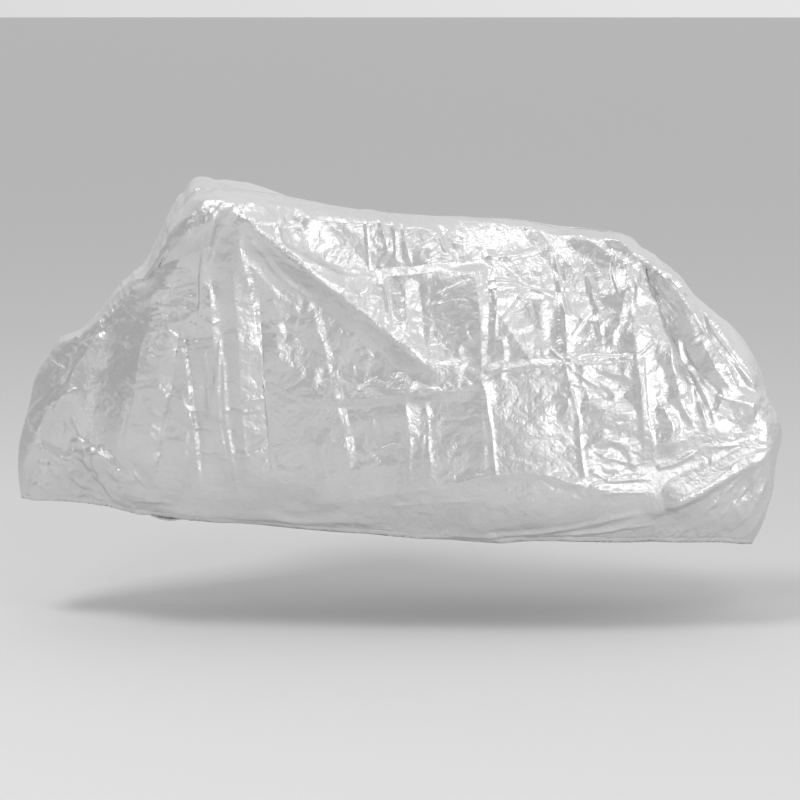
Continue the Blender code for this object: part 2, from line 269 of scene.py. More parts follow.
def edge(points: Sequence, at: Array) -> Array:
    """Places along an outline, at shares of its length."""
    points = np.asarray(points)
    lengths = np.linalg.norm(np.diff(points, axis=0), axis=1)
    return spline(np.append(0, np.cumsum(lengths)) / lengths.sum(), points, at)


def fading_edge(points: Sequence, at: Array, nearness: Array) -> Array:
    """Places along an outline whose small bends die out as the nearness to it falls from 1 to 0."""
    bent = edge(points, at)
    plain = edge((points[0], points[len(points) // 2], points[-1]), at)
    return plain + (bent - plain) * nearness**BEND_FADE


def softened(values: Array, passes: int, axis: int) -> Array:
    """The values averaged with their neighbours along one axis, with both ends kept."""
    values = np.moveaxis(values, axis, 0).copy()
    for _ in range(passes):
        values[1:-1] = (values[:-2] + 2 * values[1:-1] + values[2:]) / 4
    return np.moveaxis(values, 0, axis)


@dataclass(frozen=True)
class Waver:
    """Smooth random field between -1 and 1.

    Attributes:
        cell: Size of its bumps.
        seed: Seed of its values.
    """

    cell: float
    seed: int

    def at(self, u: Array, v: Array) -> Array:
        """The field at places on the cloth.

        Args:
            u: Distance along the panel.
            v: Distance down from the seam.

        Returns:
            The value at each place.
        """
        table = np.random.default_rng(self.seed).uniform(-1, 1, (TABLE_SIDE, TABLE_SIDE))
        iu, iv = np.floor(u / self.cell).astype(int), np.floor(v / self.cell).astype(int)
        fu, fv = smooth_step(u / self.cell - iu), smooth_step(v / self.cell - iv)
        here, beyond = iu % TABLE_SIDE, (iu + 1) % TABLE_SIDE
        under, over = iv % TABLE_SIDE, (iv + 1) % TABLE_SIDE
        low = table[here, under] * (1 - fu) + table[beyond, under] * fu
        high = table[here, over] * (1 - fu) + table[beyond, over] * fu
        return low * (1 - fv) + high * fv


@dataclass(frozen=True)
class Facets:
    """Random flat facets between straight creases, as in stiff thin cloth that was crushed.

    Attributes:
        cell: Size of a facet across.
        seed: Seed of the corner heights.
        turn: Direction of the long facets, in degrees from the x axis.
        stretch: How many times longer than wide the facets are.
    """

    cell: float
    seed: int
    turn: float = 0.0
    stretch: float = 1.0

    def at(self, u: Array, v: Array) -> Array:
        """Heights between about -1 and 1 at places on the cloth.

        Args:
            u: Distance along the panel.
            v: Distance upwards.

        Returns:
            The height at each place.
        """
        rng = np.random.default_rng(self.seed)
        table = rng.uniform(-1, 1, (TABLE_SIDE, TABLE_SIDE))
        flips = rng.uniform(0, 1, (TABLE_SIDE, TABLE_SIDE)) > 0.5
        bend = self.cell * 0.8
        u, v = (
            u + bend * Waver(self.cell * 2.3, self.seed + 1).at(u, v),
            v + bend * Waver(self.cell * 2.3, self.seed + 2).at(u, v),
        )
        cos, sin = math.cos(math.radians(self.turn)), math.sin(math.radians(self.turn))
        along = (u * cos + v * sin) / (self.cell * self.stretch)
        across = (v * cos - u * sin) / self.cell
        ia, ic = np.floor(along).astype(int), np.floor(across).astype(int)
        fa, fc = along - ia, across - ic
        here, beyond = ia % TABLE_SIDE, (ia + 1) % TABLE_SIDE
        under, over = ic % TABLE_SIDE, (ic + 1) % TABLE_SIDE
        near, near_up = table[here, under], table[here, over]
        far, far_up = table[beyond, under], table[beyond, over]
        rising = np.where(
            fa > fc,
            near + fa * (far - near) + fc * (far_up - far),
            near + fc * (near_up - near) + fa * (far_up - near_up),
        )
        falling = np.where(
            fa + fc < 1,
            near + fa * (far - near) + fc * (near_up - near),
            far_up + (1 - fa) * (near_up - far_up) + (1 - fc) * (far - far_up),
        )
        return np.where(flips[here, under], rising, falling)


@dataclass(frozen=True)
class Crease:
    """A ridge along a smooth line through a few places of the side view, or a trough if its rise is negative.

    Attributes:
        name: What it is.
        path: The places (x, z).
        rise: Height of its crest.
        left: Width on the left of its own direction.
        right: Width on the right.
        form: Its cross-section.
        start: Share of the length over which it grows.
        end: Share of the length over which it dies out.
    """

    name: str
    path: tuple
    rise: float
    left: float
    right: float
    form: Form = Form.CRISP
    start: float = 0.12
    end: float = 0.25

    def moved(self, rng: np.random.Generator) -> "Crease":
        """The like crease on the other side: a little beside it, and of another height."""
        shift = rng.normal(0, FAR_STEP, 2)
        path = tuple((x + shift[0], z + shift[1]) for x, z in self.path)
        return replace(self, path=path, rise=self.rise * rng.uniform(*FAR_RISE))

    def line(self) -> Array:
        """Points along the crest."""
        if len(self.path) > 9:
            return np.array(self.path)
        steps = 8 * (len(self.path) - 1) + 1
        if len(self.path) == 2:
            return np.linspace(self.path[0], self.path[1], steps)
        return edge(self.path, np.linspace(0, 1, steps))

    def lift(self, x: Array, z: Array) -> Array:
        """How far it lifts the cloth.

        Args:
            x: Places along the cover, flattened.
            z: Their heights.

        Returns:
            The lift at each place.
        """
        path, reach = self.line(), max(self.left, self.right)
        low, high = path.min(axis=0) - reach, path.max(axis=0) + reach
        near = np.flatnonzero((x > low[0]) & (x < high[0]) & (z > low[1]) & (z < high[1]))
        px, pz = x[near], z[near]
        away, height = np.full(px.shape, np.inf), np.zeros(px.shape)
        for i, (a, b) in enumerate(zip(path[:-1], path[1:])):
            run, dx, dz = b - a, px - a[0], pz - a[1]
            share = np.clip((dx * run[0] + dz * run[1]) / (run @ run), 0, 1)
            gap = np.hypot(dx - share * run[0], dz - share * run[1])
            width = np.where(run[0] * dz - run[1] * dx > 0, self.left, self.right)
            along = (i + share) / (len(path) - 1)
            ends = smooth_step(along / self.start) * smooth_step((1 - along) / self.end)
            closer = gap < away
            away = np.where(closer, gap, away)
            height = np.where(closer, ends * self.form.height(gap / width), height)
        lift = np.zeros(x.shape)
        lift[near] = self.rise * height
        return lift


@dataclass(frozen=True)
class Rumple:
    """A patch of small random creases.

    Attributes:
        name: What it is.
        x: Middle of the patch.
        z: Its height.
        wide: Half its width along its own direction.
        tall: Half its width across that.
        turn: Its direction, in degrees from the x axis, which its facets follow.
        rise: Height of its facets.
        cell: Size of its facets.
        stretch: How many times longer than wide they are.
    """

    name: str
    x: float
    z: float
    wide: float
    tall: float
    turn: float
    rise: float
    cell: float
    stretch: float = 1.5

    def moved(self, rng: np.random.Generator) -> "Rumple":
        """The like patch on the other side: a little beside it, and turned."""
        shift = rng.normal(0, FAR_PATCH_STEP, 2)
        return replace(self, x=self.x + shift[0], z=self.z + shift[1], turn=self.turn + FAR_PATCH_TURN)

    def lift(self, x: Array, z: Array) -> Array:
        """How far it lifts the cloth.

        Args:
            x: Places along the cover.
            z: Their heights.

        Returns:
            The lift at each place.
        """
        cos, sin = math.cos(math.radians(self.turn)), math.sin(math.radians(self.turn))
        along = ((x - self.x) * cos + (z - self.z) * sin) / self.wide
        across = ((z - self.z) * cos - (x - self.x) * sin) / self.tall
        inside = smooth_step((1 - np.hypot(along, across)) * 2)
        near = inside > 0
        seed = sum(map(ord, self.name))
        coarse = Facets(self.cell, seed, self.turn, self.stretch).at(x[near], z[near])
        fine = Facets(self.cell / 2, seed + 7, self.turn + 35, self.stretch).at(x[near], z[near])
        lift = np.zeros(x.shape)
        lift[near] = self.rise * inside[near] * (0.7 * coarse + 0.3 * fine)
        return lift


@dataclass(frozen=True)
class Gathers:
    """Small folds square to an edge that elastic or a seam draws in.

    Attributes:
        start: Share of the edge's length at which they start.
        end: Share at which they end.
        wave: Distance from one to the next.
        rise: Their height at the edge.
        reach: How far they run into the cloth.
        seed: Seed of their unevenness.
    """

    start: float
    end: float
    wave: float
    rise: float
    reach: float
    seed: int

    def lift(self, share: Array, run: Array, inward: Array) -> Array:
        """How far they lift the cloth.

        Args:
            share: Share of the edge's length beside each place.
            run: Distance along the edge.
            inward: Distance from the edge.

        Returns:
            The lift at each place.
        """
        fade = min(0.02, (self.end - self.start) / 4)
        inside = smooth_step((share - self.start) / fade) * smooth_step((self.end - share) / fade)
        wander = Waver(self.wave * 3, self.seed)
        phase = (run + self.wave * wander.at(run, inward * 0.4)) / self.wave
        folds = 1 - 2 * np.abs(2 * (phase % 1) - 1)
        size = 0.65 + 0.35 * Waver(self.wave * 1.7, self.seed + 3).at(run, inward * 0.2)
        length = self.reach * (0.7 + 0.3 * Waver(self.wave, self.seed + 5).at(run, 0 * run))
        return self.rise * inside * folds * size * smooth_step(1 - inward / length) ** 1.5


class Fold(NamedTuple):
    """A main fold, which the solid has too: a curve from one place through another to a third."""

    name: str
    x0: float
    z0: float
    x1: float
    z1: float
    x2: float
    z2: float
    rise: float
    left: float
    right: float

    def crease(self) -> Crease:
        """The fold as a crease along its curve."""
        start, bend, end = np.array(self[1:7]).reshape(3, 2)
        t = np.linspace(0, 1, 25)[:, None]
        path = (1 - t) ** 2 * start + 2 * t * (1 - t) * (2 * bend - (start + end) / 2) + t**2 * end
        return Crease(self.name, tuple(map(tuple, path)), self.rise, self.left, self.right)


NEAR_FOLDS = (
    Fold("swag", -0.408, 1.042, -0.160, 0.834, 0.128, 0.604, 0.026, 0.110, 0.055),
    Fold("swag foot", 0.020, 0.600, 0.220, 0.615, 0.580, 0.690, 0.006, 0.080, 0.045),
    Fold("second swag", -0.330, 0.960, -0.215, 0.880, -0.060, 0.800, 0.009, 0.040, 0.040),
    Fold("pocket", -0.340, 0.985, -0.130, 0.925, 0.090, 0.780, -0.008, 0.090, 0.090),
    Fold("corner ridge", -0.405, 1.048, -0.512, 0.955, -0.578, 0.790, 0.009, 0.070, 0.040),
    Fold("corner ridge foot", -0.560, 0.860, -0.608, 0.640, -0.685, 0.420, 0.012, 0.090, 0.080),
    Fold("front ridge", -0.596, 0.850, -0.730, 0.700, -0.862, 0.490, 0.011, 0.080, 0.040),
    Fold("corner fan 1", -0.505, 0.780, -0.540, 0.560, -0.585, 0.340, -0.010, 0.035, 0.035),
    Fold("corner fan 2", -0.500, 0.760, -0.480, 0.560, -0.465, 0.340, -0.011, 0.035, 0.035),
    Fold("corner fan 3", -0.440, 0.860, -0.425, 0.600, -0.405, 0.330, 0.009, 0.035, 0.035),
    Fold("corner fan 4", -0.385, 0.920, -0.372, 0.620, -0.360, 0.340, 0.008, 0.035, 0.045),
    Fold("corner fan 5", -0.325, 0.860, -0.318, 0.620, -0.300, 0.350, -0.009, 0.035, 0.035),
    Fold("pack crease 1", 0.010, 0.900, 0.010, 0.650, 0.015, 0.380, 0.004, 0.040, 0.040),
    Fold("pack crease 2", 0.190, 0.890, 0.190, 0.640, 0.195, 0.380, 0.005, 0.035, 0.045),
    Fold("pack crease 3", 0.385, 0.920, 0.395, 0.700, 0.400, 0.400, 0.005, 0.040, 0.040),
    Fold("pack crease 4", 0.530, 0.900, 0.555, 0.660, 0.590, 0.380, 0.009, 0.040, 0.040),
    Fold("back valley", 0.575, 0.890, 0.640, 0.730, 0.730, 0.530, -0.022, 0.045, 0.040),
    Fold("back ridge 1", 0.560, 0.915, 0.620, 0.740, 0.690, 0.480, 0.010, 0.035, 0.040),
    Fold("back ridge 2", 0.610, 0.870, 0.735, 0.690, 0.850, 0.500, 0.014, 0.040, 0.040),
    Fold("back ridge 3", 0.720, 0.775, 0.800, 0.660, 0.860, 0.570, 0.008, 0.030, 0.030),
    Fold("back turn", 0.620, 0.315, 0.765, 0.370, 0.905, 0.445, 0.016, 0.050, 0.070),
    Fold("front turn", -0.900, 0.430, -0.740, 0.420, -0.600, 0.320, 0.006, 0.050, 0.060),
)
FAR_FOLDS = (
    Fold("swag", -0.455, 1.035, -0.240, 0.790, 0.030, 0.610, 0.020, 0.090, 0.045),
    Fold("swag foot", -0.020, 0.620, 0.230, 0.600, 0.560, 0.700, 0.014, 0.080, 0.045),
    Fold("pocket", -0.360, 0.990, -0.160, 0.900, 0.120, 0.790, -0.018, 0.090, 0.090),
    Fold("corner ridge", -0.525, 1.020, -0.570, 0.930, -0.600, 0.830, 0.012, 0.050, 0.040),
    Fold("corner ridge foot", -0.590, 0.850, -0.640, 0.640, -0.730, 0.420, 0.014, 0.080, 0.060),
    Fold("front ridge", -0.610, 0.840, -0.750, 0.680, -0.865, 0.480, 0.012, 0.060, 0.035),
    Fold("corner fan 1", -0.500, 0.860, -0.530, 0.600, -0.560, 0.330, 0.012, 0.040, 0.040),
    Fold("corner fan 2", -0.450, 0.880, -0.440, 0.620, -0.435, 0.340, -0.012, 0.045, 0.040),
    Fold("corner fan 3", -0.400, 0.840, -0.350, 0.600, -0.330, 0.340, 0.010, 0.045, 0.045),
    Fold("pack crease 1", -0.110, 0.800, -0.100, 0.600, -0.105, 0.380, 0.008, 0.045, 0.045),
    Fold("pack crease 2", 0.130, 0.900, 0.140, 0.640, 0.140, 0.370, 0.009, 0.045, 0.045),
    Fold("pack crease 3", 0.350, 0.910, 0.360, 0.660, 0.370, 0.380, 0.009, 0.045, 0.045),
    Fold("back valley", 0.560, 0.900, 0.620, 0.700, 0.700, 0.480, -0.020, 0.045, 0.045),
    Fold("back ridge 1", 0.540, 0.910, 0.560, 0.700, 0.600, 0.420, 0.011, 0.040, 0.040),
    Fold("back ridge 2", 0.620, 0.860, 0.720, 0.660, 0.810, 0.440, 0.014, 0.045, 0.040),
    Fold("back turn", 0.600, 0.300, 0.760, 0.350, 0.905, 0.440, 0.014, 0.050, 0.070),
    Fold("front turn", -0.900, 0.420, -0.740, 0.400, -0.600, 0.320, 0.012, 0.050, 0.060),
)
NEAR_CREASES = (
    Crease("corner roll 1", ((-0.438, 1.024), (-0.454, 0.906), (-0.460, 0.812), (-0.462, 0.729)),
           0.0058, 0.032, 0.006),
    Crease("corner roll 2", ((-0.424, 1.029), (-0.432, 0.954), (-0.437, 0.897)),
           0.005, 0.012, 0.012, Form.ROLL),
    Crease("corner valley", ((-0.404, 1.024), (-0.411, 0.965), (-0.418, 0.901), (-0.422, 0.831)),
           -0.0045, 0.044, 0.032, Form.FLAT),
    Crease("tent edge", ((-0.377, 0.995), (-0.359, 0.893), (-0.345, 0.810), (-0.333, 0.715),
           (-0.321, 0.607), (-0.308, 0.523)), 0.005, 0.012, 0.06, Form.FLAT),
    Crease("swag line", ((-0.363, 1.015), (-0.296, 0.952), (-0.211, 0.876), (-0.115, 0.795),
           (-0.013, 0.715), (0.076, 0.652)), 0.007, 0.04, 0.04, Form.FLAT),
    Crease("under swag", ((-0.350, 0.953), (-0.311, 0.895), (-0.253, 0.832), (-0.184, 0.794),
           (-0.148, 0.763)), -0.002, 0.014, 0.03),
    Crease("second swag line", ((-0.354, 0.972), (-0.306, 0.910), (-0.253, 0.847), (-0.180, 0.794)),
           0.005, 0.012, 0.03, Form.FLAT),
    Crease("under swag ray 1", ((-0.205, 0.798), (-0.183, 0.713), (-0.162, 0.638), (-0.146, 0.572),
           (-0.125, 0.453), (-0.107, 0.350)), 0.0055, 0.018, 0.09, Form.FLAT),
    Crease("under swag ray 2", ((-0.329, 0.714), (-0.319, 0.619), (-0.308, 0.548), (-0.300, 0.451),
           (-0.280, 0.361)), 0.004, 0.012, 0.008),
    Crease("pleat 1", ((-0.513, 0.702), (-0.540, 0.608), (-0.562, 0.510), (-0.589, 0.339)),
           0.003, 0.014, 0.026),
    Crease("pleat 2", ((-0.504, 0.702), (-0.498, 0.638), (-0.493, 0.552)), 0.0044, 0.012, 0.008),
    Crease("wedge left", ((-0.493, 0.557), (-0.507, 0.450), (-0.521, 0.314)), 0.004, 0.006, 0.014),
    Crease("wedge right", ((-0.493, 0.557), (-0.480, 0.436), (-0.471, 0.307)), 0.0046, 0.006, 0.02),
    Crease("pleat 3", ((-0.456, 0.700), (-0.446, 0.609), (-0.441, 0.520)), 0.0044, 0.008, 0.012),
    Crease("pleat 4", ((-0.418, 0.729), (-0.426, 0.646), (-0.441, 0.520)), 0.0044, 0.012, 0.008),
    Crease("pleat 5", ((-0.414, 0.693), (-0.409, 0.586), (-0.402, 0.477), (-0.381, 0.315)),
           0.0044, 0.012, 0.008),
    Crease("cross 1", ((-0.510, 0.709), (-0.467, 0.714), (-0.423, 0.722)), 0.004, 0.008, 0.008),
    Crease("cross 2", ((-0.502, 0.686), (-0.463, 0.695), (-0.425, 0.703)), 0.003, 0.006, 0.006),
    Crease("cross 3", ((-0.612, 0.595), (-0.581, 0.605), (-0.546, 0.586)), 0.0035, 0.007, 0.007),
    Crease("cross 4", ((-0.582, 0.679), (-0.529, 0.672)), 0.0025, 0.006, 0.006),
    Crease("cross 5", ((-0.578, 0.797), (-0.519, 0.794), (-0.470, 0.788)), 0.0025, 0.006, 0.006),
    Crease("cross 6", ((-0.642, 0.779), (-0.604, 0.762), (-0.581, 0.755)), 0.003, 0.006, 0.006),
    Crease("cross 7", ((-0.579, 0.762), (-0.541, 0.747), (-0.506, 0.712)), 0.003, 0.007, 0.007),
    Crease("cross 8", ((-0.509, 0.564), (-0.491, 0.549), (-0.460, 0.552)), 0.003, 0.006, 0.006),
    Crease("cross 9", ((-0.414, 0.555), (-0.361, 0.547), (-0.317, 0.555)), 0.0035, 0.007, 0.007),
    Crease("cross 10", ((-0.377, 0.571), (-0.344, 0.578), (-0.307, 0.579)), 0.003, 0.006, 0.006),
    Crease("cross 11", ((-0.487, 0.500), (-0.459, 0.503), (-0.430, 0.503)), 0.0025, 0.006, 0.006),
    Crease("cross 12", ((-0.569, 0.470), (-0.513, 0.472)), 0.002, 0.006, 0.006),
    Crease("cross 13", ((-0.562, 0.872), (-0.516, 0.886), (-0.462, 0.882)), 0.002, 0.007, 0.007),
    Crease("cross 14", ((-0.565, 0.832), (-0.511, 0.841), (-0.461, 0.849)), 0.002, 0.007, 0.007),
    Crease("cross 15", ((-0.461, 0.776), (-0.437, 0.760), (-0.410, 0.769)), 0.003, 0.006, 0.006),
    Crease("notch left", ((-0.477, 0.446), (-0.434, 0.442), (-0.396, 0.430)), 0.0032, 0.006, 0.006),
    Crease("notch right", ((-0.396, 0.430), (-0.356, 0.441), (-0.321, 0.454)), 0.0032, 0.006, 0.006),
    Crease("slant 1", ((-0.590, 0.514), (-0.572, 0.498), (-0.562, 0.469)), 0.003, 0.006, 0.006),
    Crease("slant 2", ((-0.632, 0.511), (-0.595, 0.494), (-0.569, 0.465)), 0.003, 0.006, 0.006),
    Crease("slant 3", ((-0.689, 0.590), (-0.660, 0.558), (-0.636, 0.521)), 0.0033, 0.006, 0.007),
    Crease("slant 4", ((-0.676, 0.601), (-0.649, 0.571), (-0.628, 0.541)), 0.003, 0.006, 0.006),
    Crease("hem fold 1", ((-0.599, 0.283), (-0.429, 0.278), (-0.237, 0.274), (0.001, 0.271)),
           0.005, 0.024, 0.014, Form.FLAT),
    Crease("front crest", ((-0.582, 0.863), (-0.618, 0.812), (-0.671, 0.750), (-0.727, 0.690),
           (-0.765, 0.629), (-0.810, 0.549), (-0.873, 0.462)), 0.005, 0.04, 0.009),
    Crease("front face", ((-0.910, 0.491), (-0.835, 0.542), (-0.748, 0.596)), 0.01, 0.024, 0.1, Form.FLAT),
    Crease("slant 5", ((-0.835, 0.547), (-0.798, 0.513), (-0.789, 0.459)), 0.0035, 0.006, 0.009),
    Crease("slant 6", ((-0.793, 0.530), (-0.774, 0.488), (-0.761, 0.463), (-0.726, 0.452)),
           0.0035, 0.006, 0.009),
    Crease("tent crease", ((-0.581, 0.757), (-0.593, 0.692), (-0.609, 0.609), (-0.628, 0.536),
           (-0.658, 0.434)), 0.004, 0.016, 0.009),
    Crease("front foot 1", ((-0.873, 0.436), (-0.837, 0.427), (-0.796, 0.406), (-0.766, 0.375),
           (-0.740, 0.342)), 0.009, 0.022, 0.022, Form.FLAT),
    Crease("front foot 2", ((-0.723, 0.447), (-0.691, 0.419), (-0.658, 0.391), (-0.621, 0.360)),
           0.01, 0.024, 0.022, Form.FLAT),
    Crease("front foot 3", ((-0.733, 0.449), (-0.723, 0.417), (-0.714, 0.378)),
           0.005, 0.014, 0.014, Form.FLAT),
    Crease("front foot 4", ((-0.789, 0.459), (-0.754, 0.442), (-0.744, 0.412), (-0.740, 0.342)),
           0.007, 0.016, 0.016, Form.FLAT),
    Crease("front foot 5", ((-0.805, 0.395), (-0.786, 0.370), (-0.743, 0.339)),
           0.006, 0.014, 0.014, Form.FLAT),
    Crease("front foot 6", ((-0.847, 0.400), (-0.833, 0.385), (-0.825, 0.362)),
           0.005, 0.012, 0.012, Form.FLAT),
    Crease("front foot 7", ((-0.867, 0.404), (-0.862, 0.373), (-0.857, 0.337)),
           0.005, 0.012, 0.012, Form.FLAT),
    Crease("front foot 8", ((-0.804, 0.342), (-0.793, 0.313)), 0.0035, 0.006, 0.006),
    Crease("front foot 9", ((-0.733, 0.365), (-0.709, 0.371), (-0.698, 0.355), (-0.681, 0.306)),
           0.007, 0.016, 0.016, Form.FLAT),
    Crease("front foot 10", ((-0.677, 0.400), (-0.666, 0.370), (-0.667, 0.313)),
           0.007, 0.016, 0.018, Form.FLAT),
    Crease("front foot 11", ((-0.651, 0.426), (-0.629, 0.394), (-0.600, 0.353)), 0.004, 0.008, 0.008),
    Crease("front foot 12", ((-0.669, 0.364), (-0.628, 0.338), (-0.562, 0.321)),
           0.009, 0.024, 0.02, Form.FLAT),
    Crease("front foot 13", ((-0.634, 0.324), (-0.595, 0.322), (-0.533, 0.316)), 0.004, 0.008, 0.007),
    Crease("front foot 14", ((-0.784, 0.311), (-0.749, 0.328), (-0.725, 0.316), (-0.707, 0.296)),
           0.004, 0.008, 0.008),
    Crease("front foot 15", ((-0.895, 0.331), (-0.874, 0.344), (-0.850, 0.321)), 0.0035, 0.007, 0.007),
    Crease("front foot 16", ((-0.716, 0.356), (-0.726, 0.330), (-0.719, 0.300)), 0.0035, 0.007, 0.007),
    Crease("front strip 1", ((-0.842, 0.637), (-0.810, 0.634), (-0.790, 0.623)), 0.0036, 0.007, 0.008),
    Crease("front strip 2", ((-0.769, 0.650), (-0.792, 0.616), (-0.849, 0.557), (-0.905, 0.496)),
           0.0041, 0.008, 0.009),
    Crease("front strip 3", ((-0.591, 0.864), (-0.615, 0.831), (-0.637, 0.804)), -0.0037, 0.009, 0.007),
    Crease("front strip 4", ((-0.696, 0.779), (-0.679, 0.767), (-0.666, 0.751)), 0.0032, 0.006, 0.006),
    Crease("front strip 5", ((-0.681, 0.791), (-0.667, 0.777), (-0.653, 0.766)), 0.0032, 0.006, 0.006),
    Crease("front strip 6", ((-0.707, 0.749), (-0.691, 0.751), (-0.676, 0.745)), 0.0032, 0.006, 0.006),
    Crease("front strip 7", ((-0.666, 0.808), (-0.654, 0.797), (-0.640, 0.788)), 0.0032, 0.006, 0.006),
    Crease("front strip 8", ((-0.650, 0.824), (-0.640, 0.810), (-0.632, 0.801)), 0.0032, 0.006, 0.006),
    Crease("front strip 9", ((-0.699, 0.741), (-0.726, 0.722), (-0.753, 0.701)), 0.0036, 0.006, 0.01),
    Crease("front strip 10", ((-0.747, 0.691), (-0.727, 0.680)), 0.003, 0.006, 0.006),
    Crease("front strip 11", ((-0.780, 0.703), (-0.767, 0.697), (-0.760, 0.685)), 0.0032, 0.006, 0.006),
    Crease("front strip 12", ((-0.780, 0.684), (-0.764, 0.669)), 0.0032, 0.006, 0.006),
    Crease("front strip 13", ((-0.800, 0.662), (-0.775, 0.656)), 0.0032, 0.006, 0.006),
    Crease("fine 1", ((-0.571, 0.778), (-0.554, 0.786), (-0.535, 0.782)), 0.0025, 0.006, 0.006),
    Crease("fine 2", ((-0.574, 0.767), (-0.554, 0.774), (-0.526, 0.770)), 0.0025, 0.006, 0.006),
    Crease("fine 3", ((-0.642, 0.788), (-0.617, 0.801), (-0.588, 0.801)), 0.0025, 0.006, 0.006),
    Crease("fine 4", ((-0.627, 0.823), (-0.604, 0.812)), 0.0025, 0.006, 0.006),
    Crease("fine 5", ((-0.636, 0.621), (-0.624, 0.613), (-0.609, 0.605)), 0.0033, 0.006, 0.007),
    Crease("fine 6", ((-0.592, 0.556), (-0.579, 0.546), (-0.559, 0.527)), 0.0032, 0.006, 0.006),
    Crease("fine 7", ((-0.567, 0.612), (-0.556, 0.599), (-0.548, 0.586)), 0.003, 0.006, 0.006),
    Crease("fine 8", ((-0.567, 0.748), (-0.543, 0.742), (-0.521, 0.732)), 0.003, 0.006, 0.006),
    Crease("pocket rim left", ((-0.266, 1.001), (-0.286, 0.972), (-0.278, 0.938), (-0.247, 0.912)),
           0.0054, 0.014, 0.01),
    Crease("pocket rim foot", ((-0.276, 0.938), (-0.217, 0.899), (-0.149, 0.870), (-0.078, 0.855)),
           0.0035, 0.012, 0.022),
    Crease("pocket line", ((-0.247, 0.942), (-0.179, 0.903), (-0.127, 0.884), (-0.011, 0.879),
           (0.095, 0.890)), -0.007, 0.08, 0.02, Form.FLAT),
    Crease("pocket rim top", ((-0.261, 1.001), (-0.161, 0.988), (-0.045, 0.974), (0.060, 0.957),
           (0.156, 0.942)), 0.015, 0.036, 0.11, Form.FLAT),
    Crease("ripple 1", ((-0.087, 0.991), (-0.076, 0.938), (-0.066, 0.866)), 0.0033, 0.006, 0.007),
    Crease("ripple 2", ((-0.057, 0.990), (-0.041, 0.946), (-0.027, 0.905)), 0.0034, 0.006, 0.008),
    Crease("ripple 3", ((-0.027, 0.993), (-0.015, 0.946), (-0.006, 0.904)), 0.0034, 0.006, 0.008),
    Crease("ripple 4", ((-0.006, 0.991), (0.011, 0.936), (0.029, 0.881)), 0.0034, 0.006, 0.008),
    Crease("ripple 5", ((0.088, 0.948), (0.107, 0.914), (0.132, 0.900)), 0.0032, 0.006, 0.006),
    Crease("ripple 6", ((0.057, 0.888), (0.095, 0.899), (0.132, 0.900)), 0.003, 0.006, 0.006),
    Crease("pack top", ((-0.059, 0.872), (0.001, 0.861), (0.071, 0.867), (0.175, 0.872)),
           0.008, 0.02, 0.08, Form.FLAT),
    Crease("pack right", ((0.168, 0.884), (0.179, 0.825), (0.186, 0.761), (0.188, 0.687)),
           0.012, 0.04, 0.11, Form.FLAT),
    Crease("pack left 1", ((0.046, 0.867), (0.053, 0.803), (0.057, 0.724), (0.057, 0.650)),
           -0.004, 0.016, 0.02),
    Crease("pack left 2", ((0.003, 0.863), (0.013, 0.782), (0.020, 0.703), (0.027, 0.648)),
           0.006, 0.036, 0.014, Form.FLAT),
    Crease("pack left 3", ((-0.046, 0.859), (-0.031, 0.805), (-0.027, 0.733)), 0.004, 0.008, 0.012),
    Crease("pack line 1", ((0.083, 0.812), (0.130, 0.834), (0.170, 0.848)), 0.003, 0.006, 0.006),
    Crease("pack line 2", ((0.085, 0.789), (0.130, 0.800), (0.174, 0.795)), 0.002, 0.006, 0.006),
    Crease("swag foot line", ((-0.027, 0.729), (0.024, 0.682), (0.090, 0.652), (0.153, 0.653),
           (0.190, 0.663)), 0.01, 0.06, 0.046, Form.FLAT),
    Crease("swag foot crumple 1", ((0.108, 0.613), (0.141, 0.596), (0.167, 0.613)), 0.0032, 0.006, 0.006),
    Crease("swag foot crumple 2", ((0.060, 0.599), (0.113, 0.596), (0.148, 0.586)), 0.003, 0.006, 0.006),
    Crease("swag end", ((0.190, 0.627), (0.235, 0.641), (0.329, 0.649), (0.387, 0.661)),
           0.005, 0.024, 0.01),
    Crease("back band line", ((0.387, 0.661), (0.447, 0.665), (0.524, 0.667), (0.569, 0.676)),
           0.0037, 0.007, 0.009),
    Crease("block top", ((0.404, 0.642), (0.471, 0.650), (0.567, 0.655)), 0.009, 0.021, 0.08, Form.FLAT),
    Crease("top fold", ((0.187, 0.901), (0.260, 0.898), (0.319, 0.910), (0.365, 0.921)),
           0.005, 0.018, 0.008),
    Crease("double crease 1", ((0.184, 0.843), (0.236, 0.844), (0.330, 0.820), (0.382, 0.803)),
           0.003, 0.006, 0.006),
    Crease("double crease 2", ((0.188, 0.825), (0.283, 0.827), (0.377, 0.813)), 0.0025, 0.006, 0.006),
    Crease("back pack edge", ((0.365, 0.921), (0.369, 0.885), (0.382, 0.799), (0.388, 0.719),
           (0.392, 0.663)), 0.0046, 0.008, 0.014),
    Crease("pack edge shade", ((0.377, 0.808), (0.391, 0.730), (0.394, 0.668)),
           0.008, 0.019, 0.04, Form.FLAT),
    Crease("pack face top", ((0.202, 0.802), (0.283, 0.802), (0.370, 0.801)),
           0.017, 0.095, 0.14, Form.FLAT),
    Crease("pucker 1", ((0.243, 0.873), (0.255, 0.857), (0.276, 0.846)), 0.0032, 0.006, 0.006),
    Crease("back line 1", ((0.501, 0.919), (0.506, 0.854), (0.520, 0.789)), 0.0034, 0.006, 0.008),
    Crease("back line 2", ((0.515, 0.920), (0.534, 0.854), (0.546, 0.796), (0.557, 0.722), (0.564, 0.658)),
           0.01, 0.06, 0.075, Form.FLAT),
    Crease("back face top", ((0.444, 0.795), (0.501, 0.803), (0.553, 0.789)),
           0.013, 0.11, 0.115, Form.FLAT),
    Crease("bright slant 1", ((0.400, 0.710), (0.424, 0.747), (0.456, 0.781)), 0.0035, 0.007, 0.007),
